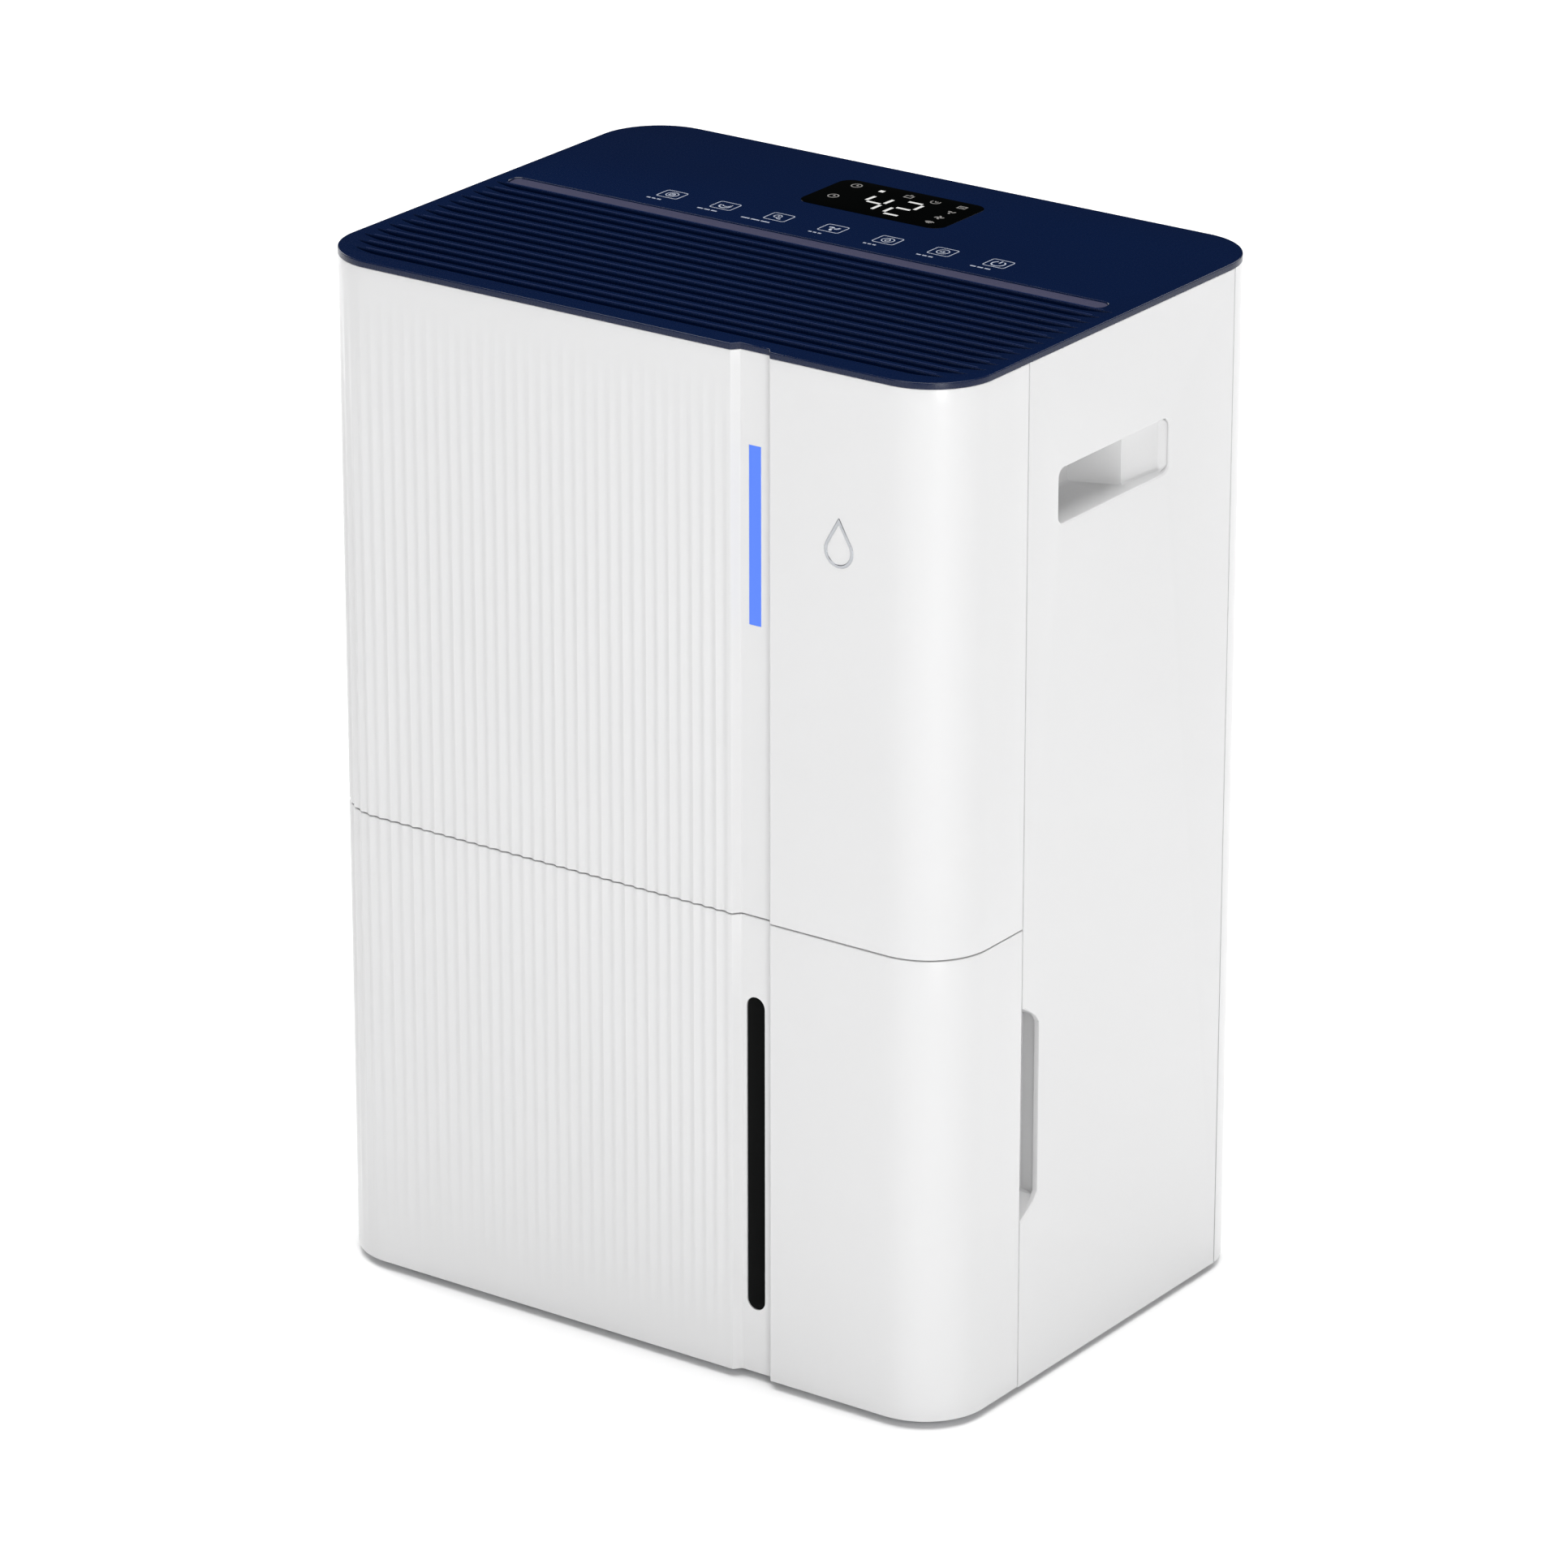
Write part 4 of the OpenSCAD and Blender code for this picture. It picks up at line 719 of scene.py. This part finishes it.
def top_outline():
    """The rounded top, anticlockwise, with the notch of the channel in its front edge."""
    loop = []
    for x, y, a in ((1, 1, 0), (-1, 1, 90), (-1, -1, 180)):
        loop += arc((x * (HALF_W - CORNER_R), y * (REAR_Y - CORNER_R)), CORNER_R, a, a + 90, 24)
    loop += [(CHANNEL[0], FRONT_Y), (CHANNEL[1], CHANNEL_Y),
             (CHANNEL[2], CHANNEL_Y), (CHANNEL[3], FRONT_Y)]
    return loop + arc((HALF_W - CORNER_R, -REAR_Y + CORNER_R), CORNER_R, 270, 360, 24)[:-1]


def slot_loop(y, reach):
    """A slot whose front edge curves back to the tips of its rear edge."""
    tip = [(0.4, 1.0), (2.2, 0.55), (5, 0.1), (8.5, -0.4), (12, -0.8), (16, -1.0)]
    left = [(-reach + a, y + SLOT_HALF * b) for a, b in tip]
    right = [(-x, v) for x, v in reversed(left)]
    return left + right


def flat_on_top(proud):
    """Places a plate level, with its face proud of the top."""
    return lambda x, y, drop: (x, y, TOP_Z + proud - drop)


def cove_slope(y):
    """0 at the rear edge of the cove, and 1 at its front edge."""
    return (COVE[3] - y) / (COVE[3] - COVE[1])


top = Shape()
slots = [slot_loop(SLOT_Y - i * SLOT_PITCH, NEAR_CORNER.get(i, SLOT_REACH)) for i in range(SLOTS)]
cove_loop = rounded_box(*COVE, 3.4, 5)
rings = top.plate(top_outline(), [*slots, cove_loop], 3, 0.55, flat_on_top(0), hole_r=1.0,
                  pockets=(SLOTS,))
cove_floor = top.ring([(x, y, TOP_Z - 1.5 - 1.6 * cove_slope(y)) for x, y in cove_loop])
top.cap([cove_loop], [cove_floor])
top.bridge(rings[-1], cove_floor)
# Blades under the slats and ribs across them
for i in range(1, SLOTS):
    y = SLOT_Y - (i - 0.5) * SLOT_PITCH
    reach = NEAR_CORNER.get(i, SLOT_REACH) - 12
    blade = [(y - 1.5, TOP_Z - 2.9), (y + 1.5, TOP_Z - 2.9),
             (y + 4.6, TOP_Z - 13), (y + 3.1, TOP_Z - 13)]
    top.prism(blade, lambda v, z, x: (x, v, z), -reach, reach)
for x in (-114, -57, 0, 57, 114):
    top.box((x - 1, FRONT_Y + 9, TOP_Z - 11), (x + 1, SLOT_Y + 6, TOP_Z - 3.1))
top.piece("top_cover", "cabinet", "navy_plastic", ["top_panel"], 32)

# Painted highlights: lighter lines along the slat edges; and a lighter sheet over the cove floor as
# painted sheen
slat_highlights = Shape()
for i in range(SLOTS):
    y, reach = SLOT_Y - i * SLOT_PITCH + SLOT_HALF + 1.3, NEAR_CORNER.get(i, SLOT_REACH) - 5
    slat_highlights.stroke([(-reach, y), (reach, y)], 0.7, TOP_Z - 0.1, TOP_Z + 0.05)
slat_highlights.piece("painted_slat_highlights", "cabinet", "navy_plastic", material=SLAT_HIGHLIGHT_BLUE)
# A thin sheet over the cove floor, coloured lighter as painted sheen
sheen_sheet = Shape()
sheen_sheet.plate(grown(cove_loop, -0.25), [], 0.8, 0.35,
          lambda x, y, drop: (x, y, TOP_Z - 0.45 - 0.8 * cove_slope(y) - drop))
sheen_sheet.piece("cove_sheen_sheet", "cabinet", "navy_plastic", material=COVE_SHEEN_GREY)

# Display glass, digits and signs
SCREEN_LO, SCREEN_HI = box_mm("display_window")
GLASS_PROUD = 0.12
GLASS_Z = TOP_Z + GLASS_PROUD
screen = Shape()
screen.plate(rounded_box(SCREEN_LO[0] + 2, SCREEN_LO[1], SCREEN_HI[0], SCREEN_HI[1], 7, 8), [],
             1.1, 0.12, flat_on_top(GLASS_PROUD))
screen.piece("display_glass", "cabinet", "dark_glass", ["display_window"])

SEGMENT = 1.7
digits = Shape()
for a, b in (((-13.7, 81.6), (-13.3, 88.6)), ((-12.2, 80.2), (-4.6, 79.9)),
             ((-3.4, 71.4), (-3.4, 78.6)), ((-3.2, 81.6), (-3.0, 88.6)),
             ((4.6, 90.6), (12.4, 90.6)), ((13.8, 81.6), (13.8, 88.9)),
             ((5.0, 79.8), (12.6, 79.8)), ((3.6, 71.2), (3.6, 78.4)), ((5.0, 69.2), (12.8, 69.2))):
    digits.stroke([a, b], SEGMENT, GLASS_Z - 0.05, GLASS_Z + 0.06)
digits.stroke([(-15.3, 95.6), (-15.3, 98.2)], 2.6, GLASS_Z - 0.05, GLASS_Z + 0.06)
digits.piece("display_digits", "cabinet", "white_print", material=LIT_DIGITS)


def circle(x, y, r, start=0, end=360, steps=20):
    return arc((x, y), r, start, end, steps)


def spiral_blade(x, y, r, turn):
    """A curved fan blade from near the middle of a symbol to its radius."""
    return [(x + r * k / 5 * math.cos(math.radians(turn + 14 * k)),
             y + r * k / 5 * math.sin(math.radians(turn + 14 * k))) for k in range(1, 6)]


signs = Shape()


def sign(points, width=0.55, closed=False):
    signs.stroke(points, width, GLASS_Z - 0.05, GLASS_Z + 0.05, closed)


for x, y in ((-30.3, 97.6), (-30.1, 78)):
    sign(circle(x, y, 2.6)[:-1], closed=True)
    sign([(x, y + 1.5), (x, y), (x + 1.2, y)])
sign([(-1.9, 95.6), (2.1, 95.6), (2.1, 98.6), (-1.9, 98.6)], closed=True)
sign([(-0.6, 99.8), (0.8, 99.8)])
sign(circle(15.2, 97.4, 2.4, 150, 390))
sign([(14.4, 98.6), (15.2, 97.4), (16.4, 98.2)])
sign([(28.4, 95.8), (32.4, 95.8), (32.4, 98.9), (28.4, 98.9)], closed=True)
sign([(29.4, 97.3), (31.4, 97.3)])
for turn in (90, 210, 330):
    sign(spiral_blade(30.3, 88.1, 2.2, turn), 0.9)
for turn in (45, 135, 225, 315):
    sign(spiral_blade(30.3, 78.3, 2.3, turn), 0.9)
for r in (1.2, 2.3, 3.4):
    sign(circle(30.4, 67.6, r, 45, 135, 8), 0.7)
signs.piece("display_signs", "cabinet", "white_print", material=DIM_SIGNS)

# Touch keys: a rounded frame, a line symbol and a short bar in place of a word
KEY_X0, KEY_PITCH, KEY_Y = -93.3, 31.0, 35.6
LINE = 0.5
keys = Shape()


def mark(x, points, width=LINE, closed=False):
    keys.stroke([(x + u, KEY_Y + v) for u, v in points], width, TOP_Z - 0.05, TOP_Z + 0.06, closed)


def ring_mark(x, r, start=0, end=360, dx=0, dy=0, width=LINE):
    points = circle(dx, dy, r, start, end)
    if end - start == 360:
        mark(x, points[:-1], width, True)
    else:
        mark(x, points, width)


centres = [KEY_X0 + KEY_PITCH * i for i in range(7)]
for x, word in zip(centres, (9, 12, 17, 8, 8, 10, 12)):
    mark(x, [(u, v) for u, v in rounded_box(-5.9, -5.2, 5.9, 5.2, 1.3, 4)], LINE, True)
    first = -3.4 - word / 2 if word < 17 else -6.5 - word / 2
    for k in range(3):
        a = first + word * k / 3
        mark(x, [(a, -9.6), (a + word / 3 - 0.9, -9.6)], 1.1)
x = centres[0]                               # padlock
ring_mark(x, 3.1)
mark(x, [(-1.3, -1.3), (1.3, -1.3), (1.3, 0.6), (-1.3, 0.6)], 0.6, True)
ring_mark(x, 1.0, 0, 180, 0, 0.7)
x = centres[1]                               # moon
ring_mark(x, 2.9, 160, 400, 0, -0.2, 0.8)
ring_mark(x, 2.3, 200, 380, 0.3, 1.6, 0.6)
x = centres[2]                               # clock
ring_mark(x, 2.0, dx=-1.3, dy=0.9)
mark(x, [(-1.3, 2.1), (-1.3, 0.9), (-0.4, 0.9)], 0.4)
for r in (1.2, 2.2):
    ring_mark(x, r, 200, 290, 1.6, -0.6, 0.45)
x = centres[3]                               # fan
for turn in (90, 210, 330):
    mark(x, spiral_blade(0, 0, 3.2, turn), 1.3)
x = centres[4]                               # drop in a ring
ring_mark(x, 3.1)
mark(x, [(0, 1.9), (-1.2, -0.1), (-1.0, -1.2), (0, -1.7), (1.0, -1.2), (1.2, -0.1)], 0.5, True)
x = centres[5]                               # two levels in a ring
ring_mark(x, 3.1)
for u in (-1.0, 0, 1.0):
    mark(x, [(u, -1.4), (u, 0.4 + 0.8 * (u == 0))], 0.55)
x = centres[6]                               # power
ring_mark(x, 3.3, 120, 420, 0, -0.3, 0.75)
mark(x, [(0, 0.4), (0, 3.6)], 0.8)
keys.piece("touch_keys", "cabinet", "white_print", ["touch_icons"])


# ---------- rear, base and moving parts ----------

for node, width, name in (
    ("rear_cover", 0.5, "rear_casing"), ("base_pan", 0.6, "base_tray"),
    ("rubber_feet", 0.6, "soft_feet"),
    ("filter_grille", 0.4, "intake_grille"), ("filter_frame", 0.4, "filter_holder"),
    ("drain_cover", 0.4, "drain_flap_cover"), ("cord_gland", 0.6, "cord_sleeve"),
    ("drain_nipple", 0.3, "hose_nipple"), ("tank_bucket", 0.6, "water_bucket"),
    ("tank_lid", 0.4, "bucket_lid"), ("tank_handle", 0.8, "bucket_handle"),
    ("tank_float", 0.6, "float_arm"), ("partition_wall", 0.3, "bay_wall"),
    ("case_screws", 0.25, "cover_screws"), ("deck_plate", 0.4, "bay_roof"),
):
    soften(node, width, name)


# ---------- floor and light ----------

FLOOR_R = 14000
FLOOR_Z = -0.6                              # just under the feet

floor_shape = Shape()
floor_ring = floor_shape.ring([(x, y, FLOOR_Z) for x, y in arc((0, 0), FLOOR_R, 0, 357, 119)])
floor_shape.faces.append(tuple(floor_ring))
floor_mesh = bpy.data.meshes.new("studio_floor")
floor_mesh.from_pydata([Vector(v) * MM for v in floor_shape.verts], [], floor_shape.faces)
floor = bpy.data.objects.new("studio_floor", floor_mesh)
bpy.context.scene.collection.objects.link(floor)
floor_mesh.materials.append(finish("floor_paper", (0.93, 0.93, 0.93), 0.9, 0.003, 40, 0.01,
                                   specular=0.1))


def softbox(name, azimuth, height, distance, size, power):
    """An area light round the object, azimuth from the front towards the right."""
    data = bpy.data.lights.new(name, "AREA")
    data.shape = "RECTANGLE"
    data.size, data.size_y = size
    data.energy = power
    lamp = bpy.data.objects.new(name, data)
    bpy.context.scene.collection.objects.link(lamp)
    a = math.radians(azimuth)
    lamp.location = (distance * math.sin(a), -distance * math.cos(a), height)
    aim = Vector((0, 0, 0.25)) - lamp.location
    lamp.rotation_euler = aim.to_track_quat("-Z", "Y").to_euler()


softbox("front_light", -8, 1.3, 3.0, (1.5, 1.7), 19)
softbox("key_light", 50, 0.9, 2.4, (0.7, 1.7), 24)
softbox("right_light", 98, 1.3, 3.0, (1.5, 1.7), 7)
softbox("left_light", -105, 1.5, 3.0, (1.4, 1.6), 30)
softbox("rear_light", 165, 1.9, 3.0, (1.5, 1.4), 30)

sky = bpy.data.lights.new("ceiling_light", "SUN")
sky.energy = 3.5
sky.angle = math.radians(60)
ceiling = bpy.data.objects.new("ceiling_light", sky)
bpy.context.scene.collection.objects.link(ceiling)
ceiling.location = (0, 0, 3)

world = bpy.data.worlds.new("studio")
bpy.context.scene.world = world
world.use_nodes = True
world.node_tree.nodes["Background"].inputs["Color"].default_value = (1, 1, 1, 1)
world.node_tree.nodes["Background"].inputs["Strength"].default_value = 0.01

bpy.context.scene.view_settings.view_transform = "Standard"
bpy.context.scene.view_settings.look = "None"
